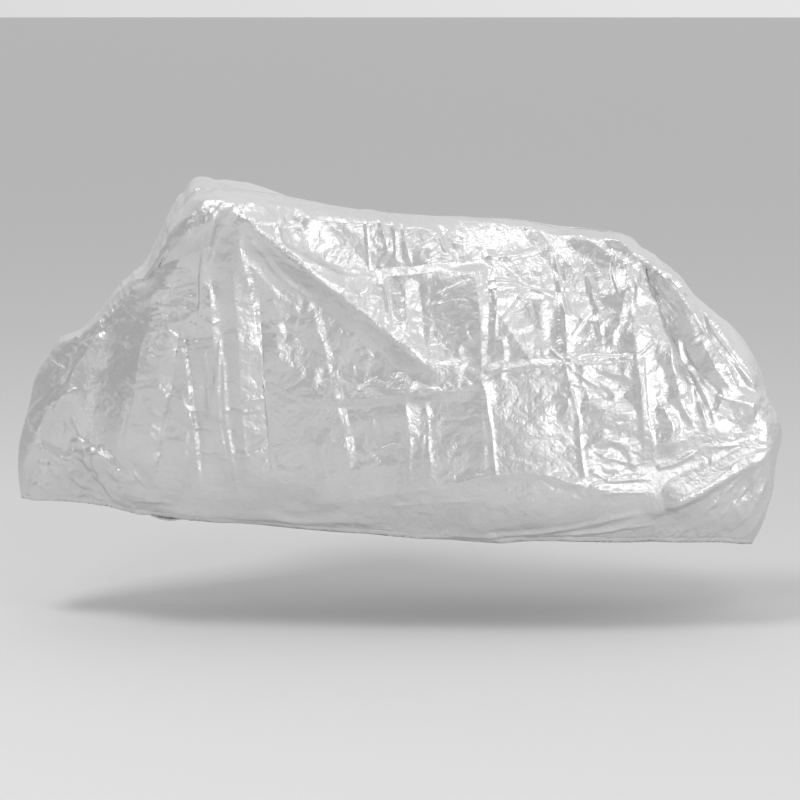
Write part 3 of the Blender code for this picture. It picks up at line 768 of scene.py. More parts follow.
    Crease("dark line", ((0.424, 0.563), (0.486, 0.542), (0.570, 0.534)), 0.009, 0.021, 0.09, Form.FLAT),
    Crease("star 1", ((0.383, 0.659), (0.424, 0.621), (0.477, 0.591)), 0.0034, 0.006, 0.008),
    Crease("star 2", ((0.383, 0.659), (0.357, 0.685), (0.337, 0.703)), 0.003, 0.006, 0.006),
    Crease("star 3", ((0.383, 0.659), (0.352, 0.640), (0.322, 0.622)), 0.003, 0.006, 0.006),
    Crease("star 4", ((0.383, 0.659), (0.395, 0.603), (0.410, 0.556)), 0.0035, 0.007, 0.007),
    Crease("scallop", ((0.377, 0.587), (0.393, 0.568), (0.391, 0.540), (0.375, 0.524)),
           0.0038, 0.006, 0.012),
    Crease("back rise", ((0.395, 0.603), (0.415, 0.540), (0.425, 0.461), (0.438, 0.356)),
           0.0048, 0.008, 0.016),
    Crease("back slant 1", ((0.432, 0.470), (0.492, 0.431), (0.574, 0.407)), 0.0035, 0.007, 0.007),
    Crease("back slant 2", ((0.440, 0.404), (0.488, 0.379), (0.598, 0.386)), 0.0035, 0.007, 0.007),
    Crease("back slant 3", ((0.438, 0.361), (0.502, 0.376), (0.606, 0.376)), 0.0035, 0.007, 0.007),
    Crease("back slant 4", ((0.469, 0.345), (0.534, 0.348), (0.599, 0.345)), 0.003, 0.006, 0.006),
    Crease("pack back", ((0.569, 0.676), (0.569, 0.599), (0.579, 0.533), (0.595, 0.468), (0.608, 0.403)),
           0.0062, 0.01, 0.022),
    Crease("back triangle", ((0.621, 0.555), (0.641, 0.490), (0.629, 0.428)), 0.01, 0.024, 0.04, Form.FLAT),
    Crease("back valley line", ((0.553, 0.913), (0.593, 0.840), (0.617, 0.786), (0.674, 0.709)),
           -0.0048, 0.009, 0.012),
    Crease("back crest 2", ((0.580, 0.910), (0.622, 0.859), (0.673, 0.757), (0.706, 0.710)),
           0.009, 0.045, 0.042, Form.FLAT),
    Crease("back crest 4", ((0.708, 0.715), (0.731, 0.665), (0.760, 0.620), (0.805, 0.561)),
           0.008, 0.019, 0.042, Form.FLAT),
    Crease("back flat top", ((0.747, 0.569), (0.800, 0.556), (0.861, 0.533)),
           0.013, 0.031, 0.055, Form.FLAT),
    Crease("back crest 3", ((0.712, 0.786), (0.740, 0.723), (0.779, 0.671), (0.822, 0.608), (0.870, 0.552)),
           0.0042, 0.008, 0.01),
    Crease("back dark 1", ((0.719, 0.779), (0.725, 0.724), (0.744, 0.684), (0.796, 0.628), (0.840, 0.571)),
           -0.0037, 0.006, 0.011),
    Crease("back dark 2", ((0.674, 0.711), (0.687, 0.657), (0.720, 0.619), (0.769, 0.564)),
           -0.0037, 0.006, 0.011),
    Crease("back ray 1", ((0.633, 0.706), (0.646, 0.628), (0.666, 0.556), (0.706, 0.480)),
           0.0045, 0.008, 0.013),
    Crease("back ray 2", ((0.658, 0.723), (0.682, 0.628), (0.713, 0.547), (0.734, 0.465)),
           0.0045, 0.008, 0.013),
    Crease("back ray 3", ((0.689, 0.647), (0.723, 0.570), (0.755, 0.483)), 0.0044, 0.008, 0.012),
    Crease("back short 1", ((0.605, 0.833), (0.636, 0.794), (0.666, 0.752)), 0.0032, 0.006, 0.006),
    Crease("back short 2", ((0.608, 0.707), (0.579, 0.687), (0.550, 0.665)), 0.0035, 0.007, 0.007),
    Crease("back foot crest", ((0.605, 0.403), (0.656, 0.413), (0.710, 0.442)), 0.0049, 0.009, 0.013),
    Crease("turn crest", ((0.578, 0.281), (0.639, 0.314), (0.715, 0.349), (0.813, 0.402), (0.913, 0.438)),
           0.01, 0.055, 0.024, Form.FLAT),
    Crease("point ray 1", ((0.913, 0.446), (0.813, 0.449), (0.722, 0.446)), 0.0035, 0.007, 0.007),
    Crease("point ray 2", ((0.910, 0.442), (0.850, 0.427), (0.769, 0.390)), 0.0035, 0.007, 0.007),
    Crease("back foot 1", ((0.721, 0.282), (0.771, 0.335), (0.828, 0.394)), 0.0039, 0.007, 0.011),
    Crease("back foot 2", ((0.762, 0.268), (0.812, 0.323), (0.866, 0.399)), 0.0039, 0.007, 0.011),
    Crease("back foot 3", ((0.805, 0.232), (0.849, 0.303), (0.889, 0.381)), 0.0039, 0.007, 0.011),
    Crease("back foot 4", ((0.839, 0.211), (0.868, 0.265), (0.892, 0.325)), 0.0037, 0.007, 0.009),
    Crease("hem slant 1", ((0.001, 0.231), (0.240, 0.239), (0.382, 0.251), (0.501, 0.279), (0.626, 0.301)),
           0.006, 0.012, 0.012),
    Crease("hem slant 2", ((0.288, 0.230), (0.479, 0.246), (0.603, 0.280)), 0.004, 0.008, 0.008),
    Crease("hem slant 3", ((0.383, 0.237), (0.527, 0.253), (0.633, 0.267)), 0.004, 0.008, 0.008),
    Crease("low fold 1", ((-0.236, 0.324), (-0.046, 0.346), (0.095, 0.365), (0.189, 0.387)),
           0.0035, 0.03, 0.034),
    Crease("low fold 2", ((0.095, 0.365), (0.236, 0.396), (0.330, 0.395), (0.438, 0.363), (0.607, 0.342)),
           0.005, 0.024, 0.026),
    Crease("low line", ((-0.034, 0.314), (0.072, 0.327), (0.194, 0.332)), 0.0025, 0.006, 0.006),
    Crease("pack foot", ((0.235, 0.721), (0.242, 0.664), (0.233, 0.604)), 0.005, 0.012, 0.038, Form.FLAT),
    Crease("pack lower 1", ((0.060, 0.592), (0.067, 0.477), (0.074, 0.367)), 0.002, 0.008, 0.01),
    Crease("pack lower 2", ((0.011, 0.591), (0.020, 0.478), (0.027, 0.359)), 0.0025, 0.008, 0.01),
    Crease("pack lower 3", ((0.192, 0.618), (0.205, 0.547), (0.217, 0.453), (0.229, 0.355)),
           0.0035, 0.009, 0.014),
    Crease("pack level", ((-0.232, 0.577), (-0.127, 0.574), (0.001, 0.586), (0.141, 0.596)),
           0.009, 0.05, 0.021, Form.FLAT),
    Crease("low slant", ((-0.088, 0.439), (-0.041, 0.456), (0.008, 0.475)), 0.003, 0.006, 0.006),
    Crease("low pucker", ((0.236, 0.434), (0.295, 0.424), (0.330, 0.404)), 0.003, 0.006, 0.006),
)
NEAR_RUMPLES = (
    Rumple("tent edge", -0.353, 0.867, 0.021, 0.051, 0, 0.003, 0.012, 1.2),
    Rumple("corner shade", -0.314, 0.984, 0.061, 0.028, -25, 0.003, 0.014, 1.3),
    Rumple("pocket left", -0.257, 0.966, 0.037, 0.040, 0, 0.0035, 0.013, 1.2),
    Rumple("pocket middle", -0.161, 0.910, 0.056, 0.035, 0, 0.0033, 0.014, 1.5),
    Rumple("pocket right", -0.027, 0.930, 0.070, 0.061, -75, 0.0038, 0.016, 2),
    Rumple("front strip", -0.694, 0.755, 0.033, 0.149, 50, 0.002, 0.012, 2.5),
    Rumple("front outer", -0.820, 0.628, 0.061, 0.070, -40, 0.0045, 0.018, 1.5),
    Rumple("front low", -0.719, 0.375, 0.163, 0.063, -35, 0.008, 0.024, 1.8),
    Rumple("front hem", -0.733, 0.307, 0.182, 0.021, -5, 0.003, 0.011, 1.2),
    Rumple("corner outer", -0.537, 0.958, 0.033, 0.098, -20, 0.0038, 0.014, 1.5),
    Rumple("corner strip", -0.508, 0.768, 0.061, 0.175, 0, 0.0024, 0.009, 4),
    Rumple("corner low", -0.502, 0.559, 0.079, 0.112, 5, 0.003, 0.015, 2.5),
    Rumple("middle left", -0.378, 0.501, 0.079, 0.098, 0, 0.0028, 0.017, 2),
    Rumple("under swag", -0.266, 0.750, 0.056, 0.112, -60, 0.0038, 0.019, 1.5),
    Rumple("rays", -0.127, 0.638, 0.061, 0.112, -75, 0.0038, 0.02, 2),
    Rumple("pocket dent", -0.087, 0.794, 0.051, 0.047, 30, 0.0038, 0.015, 1.3),
    Rumple("pack face", 0.118, 0.745, 0.065, 0.140, 20, 0.0028, 0.016, 1.5),
    Rumple("swag foot", 0.130, 0.603, 0.056, 0.023, 0, 0.0027, 0.01, 1.5),
    Rumple("top middle", 0.095, 0.939, 0.121, 0.042, -20, 0.0033, 0.016, 1.5),
    Rumple("centre", 0.283, 0.857, 0.103, 0.061, 10, 0.0023, 0.02, 1.5),
    Rumple("centre low", 0.282, 0.686, 0.098, 0.070, 15, 0.0023, 0.025, 1.5),
    Rumple("top back", 0.473, 0.884, 0.103, 0.047, -10, 0.0028, 0.018, 1.5),
    Rumple("back face", 0.486, 0.739, 0.070, 0.061, 40, 0.0039, 0.016, 1.6),
    Rumple("star", 0.395, 0.635, 0.056, 0.056, -20, 0.0038, 0.014, 1.3),
    Rumple("block", 0.500, 0.602, 0.079, 0.061, -35, 0.0046, 0.017, 2),
    Rumple("block low", 0.509, 0.447, 0.098, 0.084, -25, 0.0049, 0.018, 2.2),
    Rumple("white face", 0.628, 0.585, 0.061, 0.107, -70, 0.0038, 0.022, 2),
    Rumple("back rays", 0.718, 0.563, 0.075, 0.121, -60, 0.0033, 0.02, 2.5),
    Rumple("back point", 0.853, 0.525, 0.042, 0.065, 60, 0.0035, 0.013, 1.3),
    Rumple("back foot", 0.805, 0.324, 0.079, 0.103, 45, 0.0045, 0.018, 2.5),
    Rumple("back hem", 0.701, 0.226, 0.149, 0.021, 0, 0.003, 0.011, 1.2),
    Rumple("lower middle", 0.001, 0.466, 0.256, 0.112, 0, 0.003, 0.028, 1.2),
)

SEAM_GATHERS = Gathers(0.0, 1.0, 0.022, 0.0012, 0.035, 77)
HEM_GATHERS = (
    Gathers(0.0, 0.27, 0.012, 0.0014, 0.035, 1),
    Gathers(0.76, 1.0, 0.013, 0.0012, 0.035, 2),
)
HEM_TURN = ((0.0008, -0.0004), (0.0018, 0.0002), (0.0022, 0.004), (0.0020, 0.012))
NEAR_ONLY = ("swag line", "under swag", "tent edge", "pocket rim left", "pocket rim foot", "pocket line")


@dataclass
class ClothPanel:
    """One side of the cover: its sheet of cloth, and the thread that sews it.

    Attributes:
        name: Name of the finished sheet.
        solid: The solid that it stands for.
        side: Its side of the middle plane.
        girth: How far it stands out.
        hem: Its lower edge.
        folds: The main folds that its solid has too.
        creases: Its smaller creases.
        rumples: Its patches of random creases.
        gathers: Its gathers along the hem.
        seed: Seed of its all-over unevenness.
        columns: Columns of the sheet between the two noses.
        nose_columns: Columns in each nose.
        top_rows: Rows from the seam to the shoulder.
        side_rows: Rows from the shoulder to just above the hem.
        hem_rows: Rows of the hem.
        round_rows: Rows on each side of the shoulder over which the top rounds into the side.
        faces: Triangles that are left where flat places have been simplified.
    """

    name: str
    solid: str
    side: Side
    girth: tuple
    hem: tuple
    folds: tuple
    creases: tuple
    rumples: tuple
    gathers: tuple
    seed: int
    columns: int = 900
    nose_columns: int = 24
    top_rows: int = 60
    side_rows: int = 330
    hem_rows: int = 10
    round_rows: int = 18
    faces: int = 196000
    points: Array = field(default=None, init=False, repr=False)

    def shares_along(self) -> Array:
        """Shares of the length that hold a column, closest where the panel rounds over to the seam."""
        turn = np.linspace(0, np.pi / 2, self.nose_columns + 1)
        nose = NOSE * (1 - np.cos(turn))
        middle = np.linspace(NOSE, 1 - NOSE, self.columns + 1)[1:-1]
        return np.concatenate([nose, middle, 1 - nose[::-1]])

    def shares_down(self) -> Array:
        """Shares of the side's height that hold a row, closest in the hem."""
        hem = 1 - HEM_WIDTH / SIDE_HEIGHT
        above = np.linspace(0, hem, self.side_rows + 1)[:-1]
        return np.concatenate([above, np.linspace(hem, 1, self.hem_rows + 1)])

    def side_grid(self, along: Array, down: Array) -> Array:
        """Points of the side, from the shoulder to the hem.

        Args:
            along: Shares of the length that hold a column.
            down: Shares of the height that hold a row.

        Returns:
            (columns, rows, 3) of x, out and z.
        """
        stations = np.array(TOP)
        share = (stations[:, 0] - stations[0, 0]) / (stations[-1, 0] - stations[0, 0])
        first = 2 if self.side is Side.NEAR else 5
        shift, out, height = stations[:, first : first + 3].T
        shoulder = spline(share, np.stack([stations[:, 0] + shift, height], axis=1), along)[:, None]
        s, u = along[:, None, None], down[None, :, None]
        front, back = fading_edge(FRONT_EDGE, down, 1 - s), fading_edge(BACK_EDGE, down, s)
        hem = np.swapaxes(fading_edge(self.hem, along, np.swapaxes(u, 0, 1)), 0, 1)
        corners = (1 - u) * ((1 - s) * front[:, :1] + s * back[:, :1])
        corners = corners + u * ((1 - s) * front[:, -1:] + s * back[:, -1:])
        flat = (1 - s) * front + s * back + (1 - u) * shoulder + u * hem - corners
        rows = np.array(self.girth)
        girth = np.hstack([spline(share, out, along)[:, None], spline(rows[:, 0], rows[:, 1:], along)])
        stand = spline(GIRTH_LEVELS, girth.T, down).T
        from_end = np.clip(np.minimum(along, 1 - along) / NOSE, 0, 1)[:, None]
        nose = np.sqrt(1 - (1 - from_end) ** 2)
        below = smooth_step(down[None] / GIRTH_LEVELS[1])
        stand = stand * (nose * below + (1 - below) * np.minimum(1, nose + 1 - below))
        return np.stack([flat[..., 0], stand, flat[..., 1]], axis=-1)

    def top_grid(self, shoulder: Array, along: Array) -> Array:
        """Points of half the top, from the seam to just short of the shoulder.

        Args:
            shoulder: The first row of the side.
            along: Shares of the length that hold a column.

        Returns:
            (columns, rows, 3) of x, out and z.
        """
        stations = np.array(TOP)
        share = (stations[:, 0] - stations[0, 0]) / (stations[-1, 0] - stations[0, 0])
        seam = spline(share, stations[:, :2], along)[:, None]
        out = shoulder[:, None, 1]
        part = np.linspace(0, 1, self.top_rows + 1)[None, :-1]
        flat = seam + (shoulder[:, None, ::2] - seam) * part[..., None]
        reach = np.clip(RAISE_WIDTH, 0, 0.3 * np.maximum(out, RAISE_WIDTH))
        raised = SEAM_RAISE * smooth_step(out / RAISE_WIDTH / 2) * np.clip(1 - out * part / reach, 0, 1)
        return np.stack([flat[..., 0], out * part, flat[..., 1] + raised], axis=-1)

    def base(self) -> Array:
        """The sheet before its folds, with the narrow level strip that lies along the seam."""
        along = self.shares_along()
        side = self.side_grid(along, self.shares_down())
        grid = np.concatenate([self.top_grid(side[:, 0], along), side], axis=1)
        shoulder = slice(self.top_rows - self.round_rows, self.top_rows + self.round_rows)
        grid[:, shoulder] = softened(grid[:, shoulder], 3 * self.round_rows, 1)
        grid[..., 1] = np.maximum(grid[..., 1], SEAM_STRIP)
        grid = np.pad(grid, ((1, 1), (1, 0), (0, 0)), mode="edge")
        grid[0, :, 1] = grid[-1, :, 1] = grid[:, 0, 1] = PANEL_GAP / 2
        return grid

    @staticmethod
    def outward(grid: Array) -> Array:
        """Unit normals of a grid of points, on the side away from the middle."""
        across, down = np.gradient(grid, axis=(0, 1))
        normal = np.cross(across, down)
        length = np.linalg.norm(normal, axis=-1, keepdims=True)
        normal = normal / np.maximum(length, 1e-12)
        return normal * np.sign(normal[len(grid) // 2, -20, 1])

    def spread(self, grid: Array) -> tuple[Array, Array]:
        """Distances on the cloth itself: along the panel and down from the seam."""
        down = np.linalg.norm(np.diff(grid, axis=1), axis=-1)
        down = np.pad(np.cumsum(down, axis=1), ((0, 0), (1, 0)))
        middle = grid[:, grid.shape[1] // 2]
        along = np.linalg.norm(np.diff(middle, axis=0), axis=-1)
        along = np.append(0, np.cumsum(along))
        return np.broadcast_to(along[:, None], down.shape), down

    def folded(self) -> Array:
        """The sheet with its folds, creases, rumples and gathers: (columns, rows, 3) of x, out and z."""
        grid = self.base()
        run, down = self.spread(grid)
        x, out, z = np.moveaxis(grid, -1, 0)
        rows = grid.shape[1]
        row = np.arange(rows) - (self.top_rows + 1)
        side = np.clip(row / (self.side_rows + self.hem_rows), 0, 1)[None]
        free = smooth_step(side / SOLID_ROW / 2) * smooth_step((out - SEAM_STRIP) / 0.05)
        free = free * (0.3 + 0.7 * smooth_step((1 - side) / SOLID_ROW / 3))
        wave_x = x + 0.003 * Waver(0.05, self.seed).at(run, down)
        wave_z = z + 0.003 * Waver(0.05, self.seed + 1).at(run, down)
        flat_x, flat_z = wave_x.ravel(), wave_z.ravel()
        lift = sum(fold.lift(flat_x, flat_z) for fold in self.folds).reshape(x.shape)
        grid = grid + self.outward(grid) * (lift * free)[..., None]
        inward = down[:, -1:] - down
        free = smooth_step(side / SOLID_ROW) * smooth_step((out - SEAM_STRIP) / 0.03)
        free = free * (0.25 + 0.75 * smooth_step(inward / 0.03))
        lift = sum(crease.lift(flat_x, flat_z) for crease in self.creases).reshape(x.shape)
        lift = lift * (1 + 0.3 * Waver(0.06, self.seed + 2).at(run, down))
        lift = lift + sum(rumple.lift(wave_x, wave_z) for rumple in self.rumples)
        lift = lift * free + self.unevenness(run, down) * smooth_step((out - SEAM_STRIP) / 0.03)
        share = self.shares_along()
        share = np.pad(share, 1, mode="edge")[:, None]
        for gathers in self.gathers:
            lift = lift + gathers.lift(share, run, inward) * smooth_step((out - SEAM_STRIP) / 0.01)
        lift = lift + SEAM_GATHERS.lift(share, run, down) * smooth_step(out / 0.008)
        lift = lift - 0.0012 * smooth_step(1 - np.abs(inward - HEM_WIDTH) / 0.004)
        lift = softened(softened(lift, 1, 0), 1, 1)
        return grid + self.outward(grid) * (lift + SHEET)[..., None]

    def unevenness(self, run: Array, down: Array) -> Array:
        """The slight facets that cover the whole cloth."""
        broad = Facets(0.085, self.seed + 10, 20, 1.3).at(run, down)
        small = Facets(0.034, self.seed + 20, -35, 1.6).at(run, down)
        patches = 0.55 + 0.45 * Waver(0.16, self.seed + 30).at(run, down)
        fine = Facets(0.015, self.seed + 40, 10, 1.5).at(run, down)
        return 0.0060 * broad + 0.0028 * patches * small + 0.0008 * patches**2 * fine

    def with_hem(self, grid: Array) -> Array:
        """The sheet with its hem turned in behind it."""
        inner = self.outward(grid)[:, -1:]
        upward = grid[:, -4:-3] - grid[:, -1:]
        upward = upward / np.linalg.norm(upward, axis=-1, keepdims=True)
        last = grid[:, -1:]
        turned = [last - inner * depth + upward * rise for depth, rise in HEM_TURN]
        return np.concatenate([grid, *turned], axis=1)

    def place(self, grid: Array) -> Array:
        """Points moved from the tables' frame into the frame of the solids."""
        stations = np.array(TOP)
        rest_z = float(spline(stations[:, 0], stations[:, 1], np.array(REST_X)))
        return (grid - (REST_X, 0, rest_z)) * (1, self.side.value, 1)

    def build(self) -> bpy.types.Object:
        """Makes the sheet as a grid whose points are moved into the panel's form."""
        self.points = self.place(self.with_hem(self.folded()))
        columns, rows = self.points.shape[0] - 1, self.points.shape[1] - 1
        bpy.ops.mesh.primitive_grid_add(x_subdivisions=columns, y_subdivisions=rows, size=2)
        sheet = bpy.context.object
        sheet.name = sheet.data.name = self.name
        mesh = sheet.data
        flat = np.empty(len(mesh.vertices) * 3)
        mesh.vertices.foreach_get("co", flat)
        place = (flat.reshape(-1, 3)[:, :2] + 1) / 2 * (columns, rows)
        column, row = np.rint(place).astype(int).T
        mesh.vertices.foreach_set("co", self.points[column, rows - row].ravel())
        if self.side is Side.FAR:
            mesh.flip_normals()
        fewer = sheet.modifiers.new("fewer", "DECIMATE")
        fewer.ratio = self.faces / (2 * len(mesh.polygons))
        bpy.ops.object.modifier_apply(modifier=fewer.name)
        sheet.data.shade_smooth()
        return sheet

    def dress(self, sheet: bpy.types.Object, cloth: bpy.types.Material) -> None:
        """Gives the sheet its cloth, hangs it on the root body and hides its solid."""
        sheet.data.materials.append(cloth)
        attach(sheet, "root")
        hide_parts(self.solid)


@dataclass(frozen=True)
class Socket:
    """A node's output as a number, so that shader maths reads as an expression."""

    shader: "Shader"
    link: bpy.types.NodeSocket

    def maths(self, operation: str, *values: "Socket | float") -> "Socket":
        """Adds a Math node on values, or on this socket alone."""
        inputs = dict(enumerate(values or (self,)))
        return self.shader.node("ShaderNodeMath", {"operation": operation}, inputs)

    def __add__(self, other: "Socket | float") -> "Socket":
        """Sum."""
        return self.maths("ADD", self, other)

    def __radd__(self, other: float) -> "Socket":
        """Sum with a number on the left."""
        return self.maths("ADD", other, self)

    def __sub__(self, other: "Socket | float") -> "Socket":
        """Difference."""
        return self.maths("SUBTRACT", self, other)

    def __rsub__(self, other: float) -> "Socket":
        """Difference from a number on the left."""
        return self.maths("SUBTRACT", other, self)

    def __mul__(self, other: "Socket | float") -> "Socket":
        """Product."""
        return self.maths("MULTIPLY", self, other)

    def __rmul__(self, other: float) -> "Socket":
        """Product with a number on the left."""
        return self.maths("MULTIPLY", other, self)


@dataclass
class Shader:
    """A material or a world, and the nodes that make it.

    Attributes:
        owner: The material or world.
        surface: Its own shader node.
    """

    owner: bpy.types.Material | bpy.types.World
    surface: bpy.types.Node = field(init=False)

    def __post_init__(self) -> None:
        """Gives the owner its nodes and finds its shader."""
        self.owner.use_nodes = True
        kinds = ("BSDF_PRINCIPLED", "BACKGROUND")
        self.surface = next(n for n in self.owner.node_tree.nodes if n.type in kinds)

    def put(self, socket: bpy.types.NodeSocket, value: "Socket | float | tuple") -> None:
        """Links a socket to another's output, or sets its value."""
        if isinstance(value, Socket):
            self.owner.node_tree.links.new(value.link, socket)
        else:
            socket.default_value = value

    def node(self, kind: str, settings: dict, inputs: dict, output: int | str = 0) -> Socket:
        """Adds a node.

        Args:
            kind: Its type.
            settings: Its settings, set before its sockets. A ramp's stops are (place, colour) pairs.
            inputs: Values or links of its sockets, by name or number.
            output: The output that is wanted, by name or number.

        Returns:
            That output.
        """
        made = self.owner.node_tree.nodes.new(kind)
        for key, value in settings.items():
            if key == "stops":
                for element, (place, colour) in zip(made.color_ramp.elements, value):
                    element.position, element.color = place, colour
            else:
                setattr(made, key, value)
        for key, value in inputs.items():
            self.put(made.inputs[key], value)
        return Socket(self, made.outputs[output])

    def finish(self, **values: "Socket | float | tuple") -> bpy.types.Material | bpy.types.World:
        """Sets the sockets of the owner's shader, named with _ for a space."""
        for key, value in values.items():
            self.put(self.surface.inputs[key.replace("_", " ").title()], value)
        return self.owner


@dataclass(frozen=True)
class SilverCloth:
    """Thin cloth with a semi-gloss silver coating, finely crinkled.

    Attributes:
        light: Colour of the clean coating.
        worn: Colour where handling has dulled it.
        metallic: How metallic the coating looks.
        gloss: Roughness where it is smooth.
        dull: Roughness where it is dulled.
        crinkles: Size and depth of each kind of crinkle.
    """

    light: tuple = (0.74, 0.74, 0.745, 1.0)
    worn: tuple = (0.68, 0.68, 0.685, 1.0)
    metallic: float = 0.8
    gloss: float = 0.32
    dull: float = 0.42
    crinkles: tuple = ((0.045, 0.006), (0.015, 0.0021), (0.005, 0.0005))

    def make(self) -> bpy.types.Material:
        """Builds the material."""
        shader = Shader(bpy.data.materials.new("silver_cloth"))
        place = shader.node("ShaderNodeTexCoord", {}, {}, "Object")
        patches = shader.node("ShaderNodeTexNoise", {}, {"Vector": place, "Scale": 9.0, "Detail": 3.0})
        handled = shader.node(
            "ShaderNodeMapRange", {}, {"Value": patches, "From Min": 0.35, "From Max": 0.7}
        )
        colour = shader.node(
            "ShaderNodeMix",
            {"data_type": "RGBA"},
            {0: handled, 6: self.light, 7: self.worn},
            2,
        )
        relief = sum(
            (shader.node("ShaderNodeTexNoise", {}, {"Vector": place, "Scale": 1 / size, "Detail": 1.0}) - 0.5)
            .maths("ABSOLUTE")
            * (depth / self.crinkles[0][1])
            for size, depth in self.crinkles
        )
        bump = shader.node(
            "ShaderNodeBump",
            {},
            {"Strength": 1.0, "Distance": self.crinkles[0][1], "Height": relief},
        )
        roughness = handled * (self.dull - self.gloss) + self.gloss
        return shader.finish(
            base_color=colour, metallic=self.metallic, roughness=roughness, normal=bump
        )


@dataclass(frozen=True)
class Thread:
    """Pale polyester sewing thread.

    Attributes:
        colour: Its colour.
        roughness: Its roughness.
    """

    colour: tuple = (0.62, 0.63, 0.64, 1.0)
    roughness: float = 0.6

    def make(self) -> bpy.types.Material:
        """Builds the material."""
        shader = Shader(bpy.data.materials.new("thread"))
        place = shader.node("ShaderNodeTexCoord", {}, {}, "Object")
        plies = shader.node("ShaderNodeTexNoise", {}, {"Vector": place, "Scale": 900.0, "Detail": 2.0})
        roughness = plies * 0.2 + self.roughness
        return shader.finish(base_color=self.colour, roughness=roughness)


@dataclass(frozen=True)
class StudioFloor:
    """Plain pale floor.

    Attributes:
        colour: Its colour.
        radius: How far it reaches.
        height: Its height in the frame of the solids.
    """

    colour: tuple = (0.66, 0.66, 0.66, 1.0)
    radius: float = 600.0
    height: float = -0.9514

    def build(self) -> bpy.types.Object:
        """Makes the floor, which is not part of the cover."""
        bpy.ops.mesh.primitive_circle_add(
            vertices=96, radius=self.radius, fill_type="NGON", location=(0, 0, self.height)
        )
        floor = bpy.context.object
        floor.name = "floor"
        paint = Shader(bpy.data.materials.new("pale_floor"))
        floor.data.materials.append(paint.finish(base_color=self.colour, roughness=0.9))
        return floor


LIT_PLACE = (-0.2, 0.0, -0.3)  # the middle of the cover's side, at which most lamps point


class Lamp(NamedTuple):
    """A soft square lamp: where it stands, where it points, its size and its power."""

    name: str
    place: tuple
    target: tuple
    size: float
    power: float


@dataclass(frozen=True)
class Studio:
    """Camera at the photo's angle, and soft light from above on the left and from low on both sides.

    Attributes:
        distance: Of the camera from the middle plane.
        eye: Height of the camera above the floor.
        ahead: Where the camera stands along the cover, in the tables' frame.
        pitch: How far it looks down, in degrees.
        lens: Its focal length in millimetres, on a sensor 36 mm wide.
        ambient: Mean brightness of the surroundings.
        sideways: How much brighter than that they are on the right.
        away: How much brighter they are behind the cover.
        upwards: How much brighter they are overhead.
        lamps: The soft lamps.
    """

    distance: float = 5.5
    eye: float = 1.468
    ahead: float = 0.0
    pitch: float = 9.6
    lens: float = 103.32
    ambient: float = 0.57
    sideways: float = 0.24
    away: float = 0.19
    upwards: float = 0.15
    lamps: tuple = (
        Lamp("key", (-2.5, -1.3, 3.9), LIT_PLACE, 1.3, 89.0),
        Lamp("low right", (4.1, -2.5, -0.1), LIT_PLACE, 1.4, 38.0),
        Lamp("low front", (2.3, -4.3, -0.1), LIT_PLACE, 1.1, 18.0),
        Lamp("high left", (-2.3, -3.6, 2.4), LIT_PLACE, 1.2, 17.0),
        Lamp("high right", (1.3, -2.7, 3.6), LIT_PLACE, 1.3, 21.0),
        Lamp("low left", (-4.2, -2.6, -0.3), (-0.9, 0.0, -0.5), 0.6, 4.0),
    )

    def build(self) -> None:
        """Makes the camera, the lamps and the surroundings."""
        floor = StudioFloor().height
        data = bpy.data.cameras.new("camera")
        data.sensor_width, data.lens = 36.0, self.lens
        camera = bpy.data.objects.new("camera", data)
        camera.location = (self.ahead - REST_X, -self.distance, floor + self.eye)
        camera.rotation_euler = (math.radians(90 - self.pitch), 0, 0)
        bpy.context.scene.collection.objects.link(camera)
        bpy.context.scene.camera = camera
        for lamp in self.lamps:
            light = bpy.data.lights.new(lamp.name, "AREA")
            light.size, light.energy = lamp.size, lamp.power
            stand = bpy.data.objects.new(lamp.name, light)
            stand.location = lamp.place
            aim = np.subtract(lamp.target, lamp.place)
            stand.rotation_euler = (
                math.atan2(math.hypot(aim[0], aim[1]), -aim[2]),
                0,
                math.atan2(aim[1], aim[0]) - math.pi / 2,
            )
            stand.visible_camera = False
            bpy.context.scene.collection.objects.link(stand)
        sky = Shader(bpy.data.worlds.new("surroundings"))
        way = sky.node("ShaderNodeTexCoord", {}, {}, "Generated")
        slope = sky.node(
            "ShaderNodeVectorMath",
            {"operation": "DOT_PRODUCT"},
            {0: way, 1: (self.sideways, self.away, self.upwards)},
            "Value",
        )
        bpy.context.scene.world = sky.finish(color=(1.0, 1.0, 1.0, 1.0), strength=slope + self.ambient)
        bpy.context.scene.view_settings.view_transform = "Standard"


